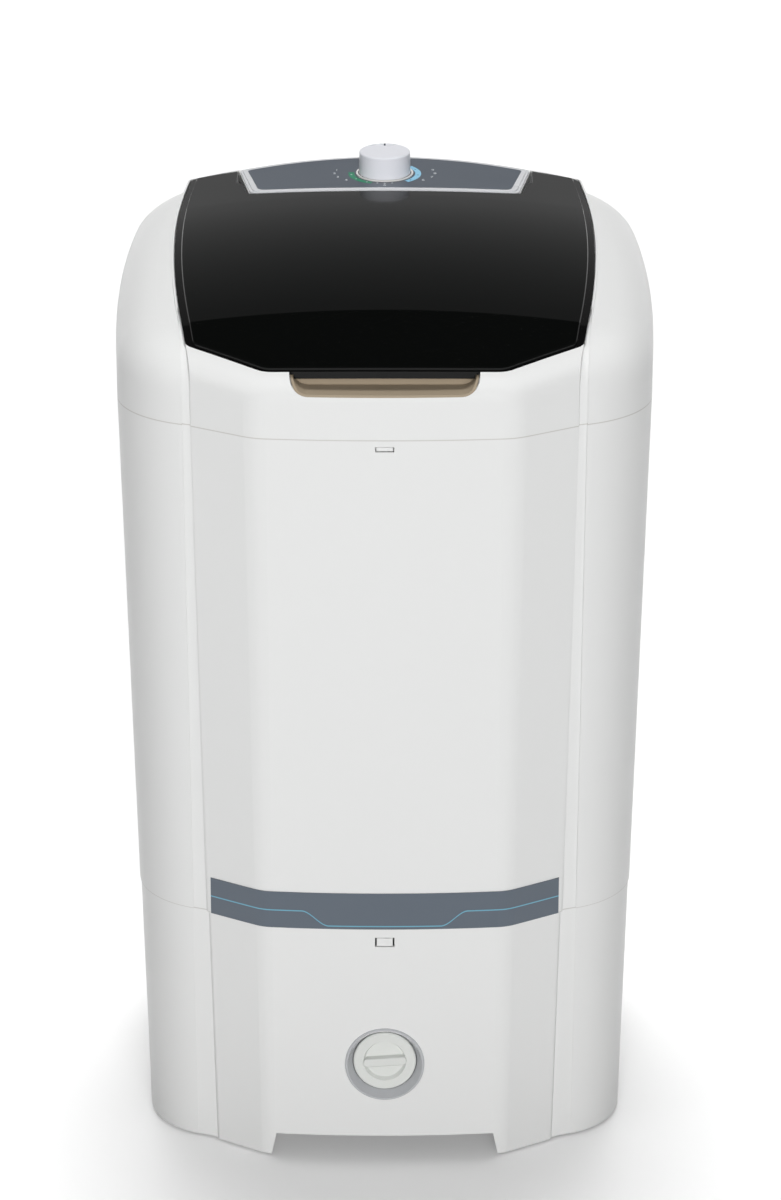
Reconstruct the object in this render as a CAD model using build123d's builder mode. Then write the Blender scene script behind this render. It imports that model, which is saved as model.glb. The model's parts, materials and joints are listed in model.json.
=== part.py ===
from build123d import *
import os
from math import asin, atan2, cos, radians, sin, sqrt, tan

# Body size, in millimetres: x across, y from front to back, z up from the floor
body_width = 471
body_depth = 470
top_seam = 683
base_seam = 229
wall_draft = 0.0232
wall = 3.2
base_step = 1.0
fit_gap = 0.4
seat_gap = 0.2

# Plan shape of the middle of the body, in arcs that run into each other
front_bow_radius = 1000
bend_radius = 45
facet_angle = 32
facet_middle_x = 140
facet_setback = 24.5
facet_radius = 4000
crease_half_width = 188.5
crease_widest_y = 47
crease_radius = 1350
crease_corner_radius = 6
rear_bow_radius = 620
rear_panel_step = 0.8

# Plan shape of the corner columns and the sides
column_front_radius = 450
column_setback = 10
column_radius = 92
side_bow_radius = 1400
rear_corner_radius = 100

# Top surface: a path from front to back, turned about an axis far below
crown_radius = 1300
crown_height = 811
crown_sweep = 28
crease_y = -145
crease_height = 768.4
front_slope = 23
crease_slope = 13
knee_radius = 120
lid_knee_radius = 5
console_y = 100
console_height = 803.4
centre_roll_radius = 20
shoulder_roll_radius = 42
shoulder_drop = 1.8

# Groove between the front panel and each corner column
groove_inner_x = 164
groove_outer_x = 171.5
groove_floor_inner_x = 154
groove_floor_outer_x = 168.5
groove_depth = 1.8
groove_turn_y = -196
groove_fade_y = -110
groove_fade_x = 178

# Lid and the well under it
lid_front_inset = 19
lid_facet_inset = 20
lid_side_inset = 2.5
lid_bend_radius = 30
lid_corner_radius = 14
lid_ear_radius = 10
lid_rear_y = 206
lid_rear_radius = 1000
lid_gap = 0.8
lid_front_gap = 1.0
lid_rear_gap = 5
opening_rear_corner = 3
lid_drop = 0.6
lid_frame_thickness = 2.4
lid_panel_rise = 2.0
lid_border = 6
lid_front_border = 2
lid_skirt_inset = 13
lid_skirt_thickness = 2
lid_skirt_height = 9
lid_rib_thickness = 2
lid_rib_height = 6
lid_edge_chamfer = 0.8
rim_thickness = 1.6
ledge_drop = 5.0
ledge_thickness = 3.0
well_inset = 9
well_front_extra = 11
well_wall = 2.6
well_lip_width = 10
deck_height = 700
deck_thickness = 3
finger_lip_height = 3.7
finger_lip_thickness = 2.2

# Console
console_front_y = 115
console_front_bow = 800
console_front_half_width = 121.5
console_rear_y = 215
console_rear_half_width = 133.5
console_rear_corner_y = 196
console_corner_radius = 9
console_rear_corner_radius = 4
console_gap = 1.5
bezel_rise = 2.6
bezel_step_rise = 1.5
bezel_step_width = 2.4
fascia_side_inset = 7
fascia_edge_inset = 2.6
fascia_recess = 1.2
fascia_thickness = 1.0

# Timer knob
knob_y = 163
knob_radius = 23.6
knob_height = 20.5
knob_wall = 2.0
knob_edge_radius = 1.6
knob_clearance = 0.5
knob_hub_radius = 7
timer_shaft_radius = 3
timer_flat = 2.2
running_gap = 0.05
dial_ring_radius = 26.2
dial_ring_width = 1.8
dial_ring_height = 1.2
timer_size = 56
timer_depth = 34
timer_ear_spacing = 72
timer_ear_width = 12
timer_ear_thickness = 4
timer_boss_radius = 5
timer_boss_length = 10
shaft_hole_radius = 6

# Finger grip under the front edge of the lid
grip_half_width = 80
grip_floor_height = 720.5
grip_back_y = -201
grip_corner_radius = 16
insert_wall = 2
insert_gap = 0.4

# Hinge
hinge_y = 175
hinge_drop = 9
hinge_lug_x = 154
ear_pocket_reach = 30
ear_pocket_gap = 0.3
ear_inner_limit = 100
ear_relief_reach = 17
ear_swing_radius = 10
ear_swing_gap = 0.4
ear_relief_taper = 8
hinge_lug_width = 10
hinge_lug_radius = 5
hinge_cheek_radius = 3.8
hinge_foot_reach = 10
hinge_screw_step = 6
hinge_pin_radius = 2.5
hinge_cheek_width = 4
hinge_side_gap = 0.5
hinge_shelf_height = 762
hinge_shelf_thickness = 3
hinge_foot_thickness = 3
bumper_radius = 4
bumper_gap = 0.3

# Wash tub, its mouth and its seal
tub_y = -10
tub_top_width = 404
tub_top_depth = 396
tub_top_corner = 120
tub_floor_width = 350
tub_floor_depth = 346
tub_floor_corner = 150
tub_floor_height = 300
tub_wall = 3
tub_flange_width = 8
tub_flange_thickness = 3
tub_seal_thickness = 2
mouth_width = 320
mouth_depth = 270
mouth_corner = 96
mouth_y = -45
mouth_lip = 14
tub_leg_radius = 13
tub_leg_spacing_x = 220
tub_leg_spacing_y = 210
ring_screw_x = 206
ring_screw_y = 70
spigot_radius = 11
spigot_low = 276

# Pulsator and drive
pulsator_radius = 150
pulsator_lift = 5
pulsator_thickness = 4
pulsator_vane_count = 6
pulsator_vane_height = 15
pulsator_vane_width = 14
pulsator_hub_radius = 26
pulsator_hub_height = 26
pulsator_hole_radius = 2.5
shaft_radius = 8
shaft_bottom = 214
bush_wall = 3
bush_length = 18
housing_flange_radius = 62
housing_flange_thickness = 6
housing_barrel_radius = 22
housing_bottom = 250
housing_bolt_circle = 96
housing_rib = 4
shaft_seal_radius = 14
shaft_seal_height = 5
pulley_radius = 90
pulley_width = 16
pulley_middle_height = 234
pulley_groove_depth = 7
pulley_bore_gap = 0.02
pulley_hub_radius = 16
pulley_window_radius = 14
nut_radius = 14
nut_height = 8
motor_y = 138
motor_pulley_radius = 22
belt_thickness = 6
belt_gap = 0.3
belt_width = 9

# Motor
motor_radius = 62
motor_top = 186
motor_length = 92
motor_cap_height = 20
motor_coil_radius = 50
motor_coil_height = 11
motor_ear_thickness = 5
motor_shaft_radius = 7
motor_ear_circle = 158
motor_mount_radius = 9
rotor_radius = 30
rotor_gap = 0.5

# Drive frame and the posts that carry it
frame_height = 206
frame_thickness = 3
frame_half_width = 168
frame_front_y = -150
frame_rear_y = 212
frame_rib_x = 125
frame_clearance = 1
motor_hole_radius = 34
hose_hole_radius = 22
frame_rib_height = 12
post_x = 148
post_front_y = -132
post_rear_y = 132
post_width = 26

# Base
skirt_height = 2
cutout_half_width = 102
cutout_height = 23
cutout_slope = 5
cutout_depth = 60
foot_block_x = 128
foot_block_y = 177
foot_block_width = 46
foot_block_depth = 54
foot_block_height = 26
foot_radius = 13
foot_height = 6
foot_recess_lift = 0.6
foot_chamfer = 1
post_web = 8
post_bolt_depth = 22
tongue_reach = 8
tongue_thickness = 2
tongue_root = 6

# Snap clips and their windows at the seams
clip_half_width = 7
clip_thickness = 2
clip_inset = 6.2
upper_window_width = 15.8
upper_window_height = 4.7
upper_window_z = 675
lower_window_width = 17
lower_window_height = 9
lower_window_z = 215.5

# Trim band over the lower seam
band_half_width = 153.5
band_height = 34.5
band_thickness = 1.0
band_glue = 0.1

# Filter at the front and the drain pump behind it
filter_z = 95.6
filter_hole_radius = 32
filter_ring_radius = 35.2
filter_ring_inner_radius = 28.6
filter_ring_dish = 9
filter_ring_rim = 2.2
filter_cap_radius = 27.8
filter_cap_thickness = 4
filter_dish_radius = 19.5
filter_dish_depth = 5
filter_grip_length = 39
filter_grip_width = 8
filter_grip_tilt = 4
filter_bore = 23
filter_housing_wall = 3
basket_radius = 21.5
basket_wall = 1.8
basket_length = 58
basket_slot_count = 10
pump_chamber_radius = 30
pump_chamber_depth = 24
pump_motor_radius = 26
pump_motor_length = 52
filter_plug_length = 14
filter_grip_rise = 3
seal_width = 2.4
port_top = 142
outlet_port_end = -48
hose_overlap = 14
hose_cuff = 16
bellows_count = 9
bellows_height = 3
clamp_thickness = 2
clamp_width = 8
impeller_radius = 22
impeller_vane_count = 6
hose_radius = 14
port_radius = 11
drain_port_y = -150
outlet_x = -115
outlet_bend_radius = 48
outlet_wall_y = 207
spigot_flange_radius = 17
outlet_pin_radius = 10
outlet_pin_length = 18

# Rear cover
rear_opening_half_width = 80
rear_opening_low = 60
rear_opening_high = 170
rear_cover_margin = 14
rear_cover_thickness = 2
louvre_count = 7
louvre_height = 4
louvre_width = 90

# Electrics
capacitor_radius = 16
capacitor_length = 62
capacitor_x = 112
capacitor_y = 20
gland_radius = 7
gland_x = 120
gland_z = 176

# Screws
screw_radius = 2
screw_head_radius = 3.8
screw_head_height = 2.4
bolt_radius = 3
bolt_head_radius = 5.5
bolt_head_height = 4

half_depth = body_depth / 2

os.makedirs("parts", exist_ok=True)


def set_in(height):
    """How far the drafted wall stands inside its outline at the top seam."""
    return (top_seam - height) * wall_draft


def rolled_in(first, second, radius):
    """Centre of an arc of this radius, tangent inside two larger arcs."""
    (centre_a, radius_a), (centre_b, radius_b) = first, second
    reach_a, reach_b = radius_a - radius, radius_b - radius
    between = centre_b - centre_a
    along = (reach_a**2 - reach_b**2 + between.length**2) / (2 * between.length)
    across = sqrt(reach_a**2 - along**2)
    unit = between.normalized()
    return centre_a + unit * along + Vector(-unit.Y, unit.X) * across


def shrunk(arc, inset):
    return (arc[0], arc[1] - inset)


def chained(main_arcs, blends):
    """The main arcs of an outline with a blending arc between each two."""
    arcs = [main_arcs[0]]
    for before, after, radius in zip(main_arcs, main_arcs[1:], blends):
        arcs += [(rolled_in(before, after, radius), radius), after]
    return arcs


def draw_outline(arcs):
    """Draw a closed outline from the arcs of its right half, front to back."""
    joints = []
    for (centre_a, radius_a), (centre_b, radius_b) in zip(arcs, arcs[1:]):
        outward = (centre_b - centre_a).normalized()
        joints.append(outward if radius_a > radius_b else outward * -1)
    starts = [Vector(-joints[0].X, joints[0].Y), *joints]
    ends = [*joints, Vector(-joints[-1].X, joints[-1].Y)]
    for number, ((centre, radius), start, end) in enumerate(zip(arcs, starts, ends)):
        middle = (start + end).normalized()
        points = [centre + outward * radius for outward in (start, middle, end)]
        ThreePointArc(*points)
        if 0 < number < len(arcs) - 1:
            ThreePointArc(*[Vector(-point.X, point.Y) for point in points])


front_bow = (Vector(0, front_bow_radius - half_depth), front_bow_radius)
facet_outward = Vector(sin(radians(facet_angle)), -cos(radians(facet_angle)))
facet_middle = Vector(facet_middle_x, facet_setback - half_depth)
facet = (facet_middle - facet_outward * facet_radius, facet_radius)
crease_side = (Vector(crease_half_width - crease_radius, crease_widest_y), crease_radius)
rear_bow = (Vector(0, half_depth - rear_panel_step - rear_bow_radius), rear_bow_radius)
rear_panel = (rear_bow[0], rear_bow_radius + rear_panel_step)
column_front = (Vector(0, column_setback - half_depth + column_front_radius), column_front_radius)
body_side = (Vector(body_width / 2 - side_bow_radius, 0), side_bow_radius)
wide_side = (Vector(body_width / 2 - side_bow_radius + 40, 0), side_bow_radius)
lid_rear = (Vector(0, lid_rear_y - lid_rear_radius), lid_rear_radius)


def middle_arcs(inset, corner_inset=0):
    """Outline of the middle of the body, bounded by the facets and the creases."""
    main = [shrunk(front_bow, inset), shrunk(facet, inset)]
    main += [shrunk(crease_side, inset + corner_inset), shrunk(rear_panel, inset)]
    corner = crease_corner_radius - corner_inset
    return chained(main, [bend_radius - inset, corner, corner])


def column_arcs(inset, corner_inset=0):
    """Outline of the columns and sides, hidden behind the middle at the front."""
    main = [shrunk(arc, inset) for arc in (column_front, body_side, rear_bow)]
    return chained(main, [column_radius - inset, rear_corner_radius - inset])


def section(arcs, height):
    with BuildSketch(Plane.XY.offset(height)) as level:
        with BuildLine():
            draw_outline(arcs)
        make_face()
    return level.sketch


def tapered(outline_arcs, low, high, inset):
    """Solid with drafted walls between two heights, drawn in by an inset."""
    levels = [section(outline_arcs(set_in(z) + inset, inset), z) for z in (low, high)]
    with BuildPart() as solid:
        loft(levels, ruled=True)
    return solid.part


def body_block(low, high, inset=0):
    """The whole body between two heights, as one solid."""
    return tapered(middle_arcs, low, high, inset) + tapered(column_arcs, low, high, inset)


def prism(arcs, low, high):
    with BuildPart() as solid:
        extrude(section(arcs, low), amount=high - low)
    return solid.part


def block(x_range, y_range, z_range):
    """Box between two corners."""
    with BuildPart() as solid:
        with Locations(((x_range[0] + x_range[1]) / 2, (y_range[0] + y_range[1]) / 2,
                        (z_range[0] + z_range[1]) / 2)):
            Box(x_range[1] - x_range[0], y_range[1] - y_range[0], z_range[1] - z_range[0])
    return solid.part


def upright(radius, low, high, x=0, y=0, spots=None):
    """Upright rods between two heights."""
    with BuildPart() as solid:
        with BuildSketch(Plane.XY.offset(low)):
            with Locations(*(spots or [(x, y)])):
                Circle(radius)
        extrude(amount=high - low)
    return solid.part


def spread(circle, count, start, x=0, y=0):
    """Points spaced evenly on a circle."""
    angles = [radians(start + 360 * number / count) for number in range(count)]
    return [(x + circle * cos(angle), y + circle * sin(angle)) for angle in angles]


def rounded_box(width, depth, corner, low, high, middle_y):
    with BuildPart() as solid:
        with BuildSketch(Plane.XY.offset(low)):
            with Locations((0, middle_y)):
                RectangleRounded(width, depth, corner)
        extrude(amount=high - low)
    return solid.part


def turned(points):
    """Solid of revolution about the upright axis from a profile of points."""
    with BuildPart() as solid:
        with BuildSketch(Plane.XZ):
            with BuildLine():
                Polyline(*points, close=True)
            make_face()
        revolve(axis=Axis.Z)
    return solid.part


def screws(spots, radius, length, head_radius, head_height, plane=Plane.XY):
    """Round-headed screws on a plane: the heads outside it, the shanks behind it."""
    with BuildPart() as solid:
        with BuildSketch(plane):
            with Locations(*spots):
                Circle(head_radius)
        extrude(amount=head_height)
        tops = solid.faces().sort_by(Axis(plane.origin, plane.z_dir))[-len(spots):]
        chamfer(tops.edges(), head_height / 3)
        with BuildSketch(plane):
            with Locations(*spots):
                Circle(radius)
        extrude(amount=-length)
    return solid.part


def mirrored(solid, plane=Plane.YZ):
    """A solid together with its mirror image."""
    return solid + solid.mirror(plane)


def crown_solid(knee):
    """Everything under the top surface, with this radius at its knee."""
    axis = Axis((0, 0, crown_height - crown_radius), (0, 1, 0))
    slope = tan(radians(front_slope))
    reach = half_depth + 40
    with BuildPart() as solid:
        with BuildSketch(Plane.YZ):
            with BuildLine():
                corner = Vector(crease_y, crease_height)
                main_slope = radians(crease_slope)
                tangent_length = knee * tan((radians(front_slope) - main_slope) / 2)
                front = Line(
                    (-reach, crease_height - (reach + crease_y) * slope),
                    corner - Vector(1, slope).normalized() * tangent_length,
                )
                knee_end = corner + Vector(1, tan(main_slope)).normalized() * tangent_length
                knee_arc = TangentArc(front @ 1, knee_end, tangent=front % 1)
                main = TangentArc(
                    knee_arc @ 1, (console_y, console_height), tangent=knee_arc % 1
                )
                rear = Line(main @ 1, (main @ 1) + (main % 1) * (reach - console_y))
                floor = top_seam - 120
                Polyline(rear @ 1, ((rear @ 1).X, floor), (-reach, floor), front @ 0)
            make_face()
        revolve(axis=axis, revolution_arc=crown_sweep)
    return solid.part.rotate(axis, -crown_sweep / 2)


smooth_crown = crown_solid(knee_radius)
lid_crown = crown_solid(lid_knee_radius)


def lowered(crown, drop):
    return Pos(0, 0, -drop) * crown


def top_rim(solid):
    """The edges where the walls of a solid meet its top."""
    walls = solid.faces().filter_by(lambda face: abs(face.normal_at().Z) < 0.2)
    tops = solid.faces().filter_by(lambda face: face.normal_at().Z > 0.5)
    return walls.edges() & tops.edges()


ceiling = crown_height + 30


def rolled_top(arcs, drop, roll_radius):
    """A body with upright walls, the crowned top and a rolled edge between them."""
    with BuildPart() as solid:
        extrude(section(arcs, top_seam), amount=ceiling - top_seam)
        add(lowered(smooth_crown, drop), mode=Mode.INTERSECT)
        fillet(top_rim(solid.part), roll_radius)
    return solid.part


def wide_middle(inset):
    """The middle of the cover, carried on sideways past its creases."""
    main = [shrunk(arc, inset) for arc in (front_bow, facet, wide_side, rear_panel)]
    wide_arcs = chained(main, [bend_radius - inset, column_radius, column_radius])
    return rolled_top(wide_arcs, inset, centre_roll_radius - inset)


def cover_block(inset):
    """The outer form of the top cover, drawn in by an inset."""
    shoulders = rolled_top(
        column_arcs(inset), shoulder_drop + inset, shoulder_roll_radius - inset
    )
    main = [shrunk(arc, -10) for arc in (front_bow, facet)]
    main += [shrunk(crease_side, 2 * inset), shrunk(rear_panel, -10)]
    crease_arcs = chained(main, [bend_radius, 1, 1])
    return shoulders + (wide_middle(inset) & prism(crease_arcs, top_seam, ceiling))


cover_outside = cover_block(0)
cover_inside = cover_block(wall)


def groove_edges(height):
    """Inner and outer edge of the groove at a height, across the body."""
    share = height / top_seam
    inner = groove_floor_inner_x + (groove_inner_x - groove_floor_inner_x) * share
    outer = groove_floor_outer_x + (groove_outer_x - groove_floor_outer_x) * share
    return inner, outer


def groove_cutter(low, high):
    """The strip that is cut from both sides of the front to make the grooves."""
    near, far = -half_depth - 20, -half_depth + 80
    levels = []
    for height in (low, high):
        inner, outer = groove_edges(height)
        with BuildSketch(Plane.XY.offset(height)) as level:
            with BuildLine():
                Polyline((inner, near), (outer, near), (outer, far), (inner, far), close=True)
            make_face()
        levels.append(level.sketch)
    with BuildPart() as solid:
        loft(levels, ruled=True)
    cutter = mirrored(solid.part)
    return cutter - tapered(column_arcs, low - 1, high + 1, groove_depth)


def body_shell(low, high, inset):
    """A drafted ring of wall between two heights."""
    outside = body_block(low, high, inset) - groove_cutter(low - 5, high + 5)
    return outside - body_block(low - 5, high + 5, inset + wall)


def body_ring(low, high, outer_inset, inner_inset):
    return body_block(low, high, outer_inset) - body_block(low - 1, high + 1, inner_inset)


def window(width, height, middle_z):
    """Cutter for a clip window through the front and the back."""
    reach = half_depth + 20
    low, high = middle_z - height / 2, middle_z + height / 2
    return mirrored(block((-width / 2, width / 2), (-reach, -half_depth / 2), (low, high)), Plane.XZ)


def clip(seam, middle_z, window_height):
    """Snap arm at front and back that reaches down into a window below a seam."""
    face_y = -half_depth + set_in(middle_z)
    arm_y = face_y + clip_inset
    low = middle_z - window_height / 2 - 5
    arm = block((-clip_half_width, clip_half_width), (arm_y, arm_y + clip_thickness),
                (low, seam + tongue_reach + 6))
    bridge = block((-clip_half_width, clip_half_width), (face_y + 1.5, arm_y + clip_thickness),
                   (seam + tongue_reach + 1, seam + tongue_reach + 6))
    catch = block((-clip_half_width, clip_half_width), (face_y + base_step + 0.5, arm_y),
                  (middle_z - window_height / 2 + 0.8, middle_z + window_height / 2 - 0.8))
    return mirrored(arm + bridge + catch, Plane.XZ)


tongue_outer = wall + fit_gap
tongue_inner = tongue_outer + tongue_thickness

# Cabinet: the tall middle shell
def cabinet_solid():
    """Shell with a tongue on its upper edge, clip windows above and clips below."""
    solid = body_shell(base_seam, top_seam, 0)
    solid += body_ring(top_seam - tongue_reach - tongue_root, top_seam - 2, wall - fit_gap,
                       tongue_inner)
    solid += body_ring(top_seam - 3, top_seam + tongue_reach, tongue_outer, tongue_inner)
    solid -= window(upper_window_width, upper_window_height, upper_window_z)
    return solid + clip(base_seam, lower_window_z, lower_window_height)


with BuildPart() as cabinet:
    add(cabinet_solid())
cabinet.part.label = "cabinet"
export_step(cabinet.part, "parts/cabinet.step")

foot_spots = [(x, y) for x in (-foot_block_x, foot_block_x) for y in (-foot_block_y, foot_block_y)]
frame_bolt_spots = [(x, y) for x in (-post_x, post_x) for y in (post_front_y, post_rear_y)]
cover_low = rear_opening_low - rear_cover_margin
cover_high = rear_opening_high + rear_cover_margin
cover_half = rear_opening_half_width + rear_cover_margin
cover_screw_spots = [(x, z) for x in (-cover_half + 7, cover_half - 7)
                     for z in (cover_low + 7, cover_high - 7)]


def front_turned(points, x=0):
    """Solid of revolution about the filter axis, from (radius, y) points."""
    with BuildPart() as solid:
        with BuildSketch(Plane.XY):
            with BuildLine():
                Polyline(*points, close=True)
            make_face()
        revolve(axis=Axis.Y)
    return Pos(x, 0, filter_z) * solid.part


def tube(outer, inner, front, rear, x=0):
    return front_turned([(inner, front), (outer, front), (outer, rear), (inner, rear)], x)


def disc(radius, front, rear, x=0):
    return front_turned([(0, front), (radius, front), (radius, rear), (0, rear)], x)


def rear_y(x, z):
    """Outer face of the base at the back."""
    return rear_bow[0].Y + sqrt((rear_panel[1] - base_step - set_in(z))**2 - x**2)


def rear_plane(x, z, outwards=0):
    normal = Vector(x / rear_panel[1], 1, -wall_draft).normalized()
    return Plane(origin=Vector(x, rear_y(x, z), z) + normal * outwards, z_dir=normal)


def rear_rod(x, z, radius, low, high):
    with BuildPart() as solid:
        with BuildSketch(rear_plane(x, z, low)):
            Circle(radius)
        extrude(amount=high - low)
    return solid.part


# Base: the lower shell with its foot blocks, posts and openings
def front_cutout():
    """Trapezoid cut from the lower edge of the skirt, at front and back."""
    reach = half_depth + 10
    with BuildPart() as solid:
        with BuildSketch(Plane.XZ.offset(reach)):
            with BuildLine():
                top, foot = cutout_half_width - cutout_slope, cutout_half_width
                Polyline((-foot, -1), (foot, -1), (top, cutout_height), (-top, cutout_height),
                         close=True)
            make_face()
        extrude(amount=-cutout_depth - 10)
    return mirrored(solid.part, Plane.XZ)


def foot_blocks():
    """Solid blocks in the lower corners that hold the rubber feet."""
    half_width, half_block = foot_block_width / 2, foot_block_depth / 2
    corner = block(
        (foot_block_x - half_width, foot_block_x + half_width),
        (-foot_block_y - half_block, -foot_block_y + half_block),
        (skirt_height - foot_recess_lift, foot_block_height),
    )
    return mirrored(mirrored(corner), Plane.XZ)


def posts():
    """Upright posts with a web to the side wall, which carry the drive frame."""
    half = post_width / 2
    solid = None
    for y in (post_front_y, post_rear_y):
        post = block((post_x - half, post_x + half), (y - half, y + half),
                     (skirt_height, frame_height))
        web = block((post_x, body_width / 2 + 5), (y - post_web / 2, y + post_web / 2),
                    (skirt_height, frame_height))
        solid = post + web if solid is None else solid + post + web
    return mirrored(solid)


def base_solid():
    """Shell with foot blocks, posts, a tongue and its openings."""
    solid = body_shell(skirt_height, base_seam, base_step)
    solid += (foot_blocks() + posts()) & body_block(0, base_seam, base_step + wall / 2)
    solid += body_ring(base_seam - tongue_reach - tongue_root, base_seam + tongue_reach,
                       tongue_outer, tongue_inner)
    solid -= front_cutout()
    solid -= window(lower_window_width, lower_window_height, lower_window_z)
    solid -= disc(filter_hole_radius, -body_depth, -half_depth / 2)
    solid -= disc(port_radius + 1, half_depth / 2, body_depth, outlet_x)
    solid -= rear_rod(gland_x, gland_z, gland_radius + seat_gap, -10, 10)
    solid -= block((-rear_opening_half_width, rear_opening_half_width),
                   (half_depth / 2, body_depth), (rear_opening_low, rear_opening_high))
    for x, z in cover_screw_spots:
        solid -= rear_rod(x, z, screw_radius, -10, 10)
    solid -= upright(foot_radius, -1, foot_height, spots=foot_spots)
    return solid - upright(bolt_radius, frame_height - post_bolt_depth, frame_height + 1,
                           spots=frame_bolt_spots)


with BuildPart() as base:
    add(base_solid())
base.part.label = "base"
export_step(base.part, "parts/base.step")

# Rubber feet, pressed into the foot blocks
with BuildPart() as rubber_feet:
    add(upright(foot_radius, 0, foot_height, spots=foot_spots))
    chamfer(rubber_feet.faces().sort_by(Axis.Z)[:4].edges(), foot_chamfer)
rubber_feet.part.label = "rubber_feet"
export_step(rubber_feet.part, "parts/rubber_feet.step")


def console_outline(height, spread, front_inset=0, side_inset=0):
    """Arched outline of the console, spread outwards or drawn in."""
    front_half = console_front_half_width + spread - side_inset
    rear_half = console_rear_half_width + spread - side_inset
    front_y = console_front_y - spread + front_inset
    rear_y = console_rear_y + spread - front_inset
    corner_y = console_rear_corner_y + spread - front_inset
    bow = front_half**2 / (2 * console_front_bow)
    with BuildSketch(Plane.XY.offset(height)) as level:
        with BuildLine():
            front = ThreePointArc((-front_half, front_y + bow), (0, front_y),
                                  (front_half, front_y + bow))
            right = Line(front @ 1, (rear_half, corner_y))
            rear = ThreePointArc(right @ 1, (0, rear_y), (-rear_half, corner_y))
            Line(rear @ 1, front @ 0)
        make_face()
        corners = level.vertices().sort_by(Axis.Y)
        fillet(corners[:2], console_corner_radius)
        fillet(level.vertices().group_by(Axis.Y)[-1], console_rear_corner_radius)
    return level.sketch


def console_prism(spread, front_inset=0, side_inset=0):
    with BuildPart() as solid:
        extrude(console_outline(top_seam, spread, front_inset, side_inset),
                amount=ceiling - top_seam)
    return solid.part


def lid_arcs(inset, rear_inset, front_extra, ear_radius):
    """Outline of the lid without its console notch, drawn in by an inset."""
    main = [
        shrunk(front_bow, lid_front_inset + inset + front_extra),
        shrunk(facet, lid_facet_inset + inset + front_extra),
        shrunk(crease_side, lid_side_inset + inset),
        shrunk(lid_rear, rear_inset),
    ]
    return chained(main, [max(lid_bend_radius - inset, 12), max(lid_corner_radius - inset, 3),
                          ear_radius])


def lid_prism(inset, notch_gap, rear_inset, front_extra=0, ear_radius=opening_rear_corner):
    """The lid outline as an upright prism, with the notch for the console."""
    half_notch = console_rear_half_width + notch_gap
    outline = prism(lid_arcs(inset, rear_inset, front_extra, ear_radius), top_seam, ceiling)
    behind = block((-half_notch, half_notch), (console_rear_corner_y, half_depth),
                   (top_seam, ceiling))
    return outline - console_prism(notch_gap) - behind


well_notch = console_gap + well_inset - 1
opening = lid_prism(-lid_gap, console_gap - lid_gap, -lid_rear_gap, lid_gap - lid_front_gap)
well_hole = lid_prism(well_inset, well_notch, -lid_rear_gap, well_front_extra)
well_tube = lid_prism(well_inset - well_wall, well_notch - well_wall,
                      -lid_rear_gap - well_wall, well_front_extra)
well_lip = lid_prism(well_inset + well_lip_width, well_notch + well_lip_width, -lid_rear_gap,
                     well_front_extra)
rim_tube = lid_prism(-lid_gap - rim_thickness, console_gap - lid_gap - rim_thickness,
                     -lid_rear_gap - rim_thickness, lid_gap - lid_front_gap)
ear_hole = lid_prism(-lid_gap - ear_pocket_gap, console_gap - lid_gap - ear_pocket_gap,
                     -lid_rear_gap - ear_pocket_gap, lid_gap - lid_front_gap)
ear_tube = lid_prism(-lid_gap - ear_pocket_gap - well_wall,
                     console_gap - lid_gap - ear_pocket_gap - well_wall,
                     -lid_rear_gap - ear_pocket_gap - well_wall, lid_gap - lid_front_gap)
well_middle = lid_prism(well_inset - well_wall / 2, well_notch - well_wall / 2,
                        -lid_rear_gap - well_wall / 2, well_front_extra)
ear_pocket_front = hinge_y - ear_pocket_reach


def level_slab(low, high):
    """Everything between two heights."""
    return block((-body_width, body_width), (-body_depth, body_depth), (low, high))


def ear_space(front_y, low):
    """Both sides of the machine behind a plane and above a height."""
    return mirrored(block((ear_inner_limit, body_width), (front_y, body_depth), (low, ceiling)))


def ear_pockets(ledge_top):
    """Box round each ear of the lid, with a floor that carries the hinge bracket."""
    outside = block((ear_inner_limit, body_width), (ear_pocket_front - well_wall, body_depth),
                    (hinge_shelf_height - hinge_shelf_thickness, ceiling))
    inside = block((ear_inner_limit, body_width), (ear_pocket_front, body_depth),
                   (hinge_shelf_height, ceiling))
    pocket = (ear_tube & outside & ledge_top) - (ear_hole & inside)
    return mirrored(pocket - (well_middle & level_slab(hinge_shelf_height, ceiling)))


def well():
    """The rim round the opening, the ledge under it and the well wall."""
    under_ledge = wide_middle(ledge_drop + ledge_thickness)
    ledge_top = wide_middle(ledge_drop)
    front = block((-body_width, body_width), (-body_depth, ear_pocket_front - well_wall / 2),
                  (top_seam, ceiling))
    rim = ((rim_tube - opening) & wide_middle(1)) - under_ledge
    ledge = ((rim_tube - well_hole) & ledge_top & front) - under_ledge
    floor = deck_height + seat_gap
    sides = ((well_tube - well_hole) & ledge_top) - level_slab(top_seam - 1, floor)
    sides -= ear_space(ear_pocket_front - well_wall / 2,
                       hinge_shelf_height - hinge_shelf_thickness / 2)
    lip = (well_tube - well_lip) & level_slab(floor, floor + well_wall)
    return rim + ledge + sides + lip + ear_pockets(ledge_top)


def grip_shape(side_gap, low, front_y, back_y):
    """The finger recess as a block with rounded lower corners."""
    height = ceiling - low
    with BuildPart() as solid:
        with BuildSketch(Plane.XZ.offset(-back_y)):
            with Locations((0, low + height / 2)):
                RectangleRounded(2 * (grip_half_width - side_gap), height,
                                 grip_corner_radius - side_gap)
        extrude(amount=back_y - front_y)
    return solid.part


console_chord = atan2(console_height - crease_height, console_y - crease_y)
console_slope = tan(2 * console_chord - radians(crease_slope))


def top_at(x, y):
    """Height of the crowned top behind the console's front edge."""
    axis_z = crown_height - crown_radius
    middle = console_height + (y - console_y) * console_slope
    return sqrt((middle - axis_z)**2 - x**2) + axis_z


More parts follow.
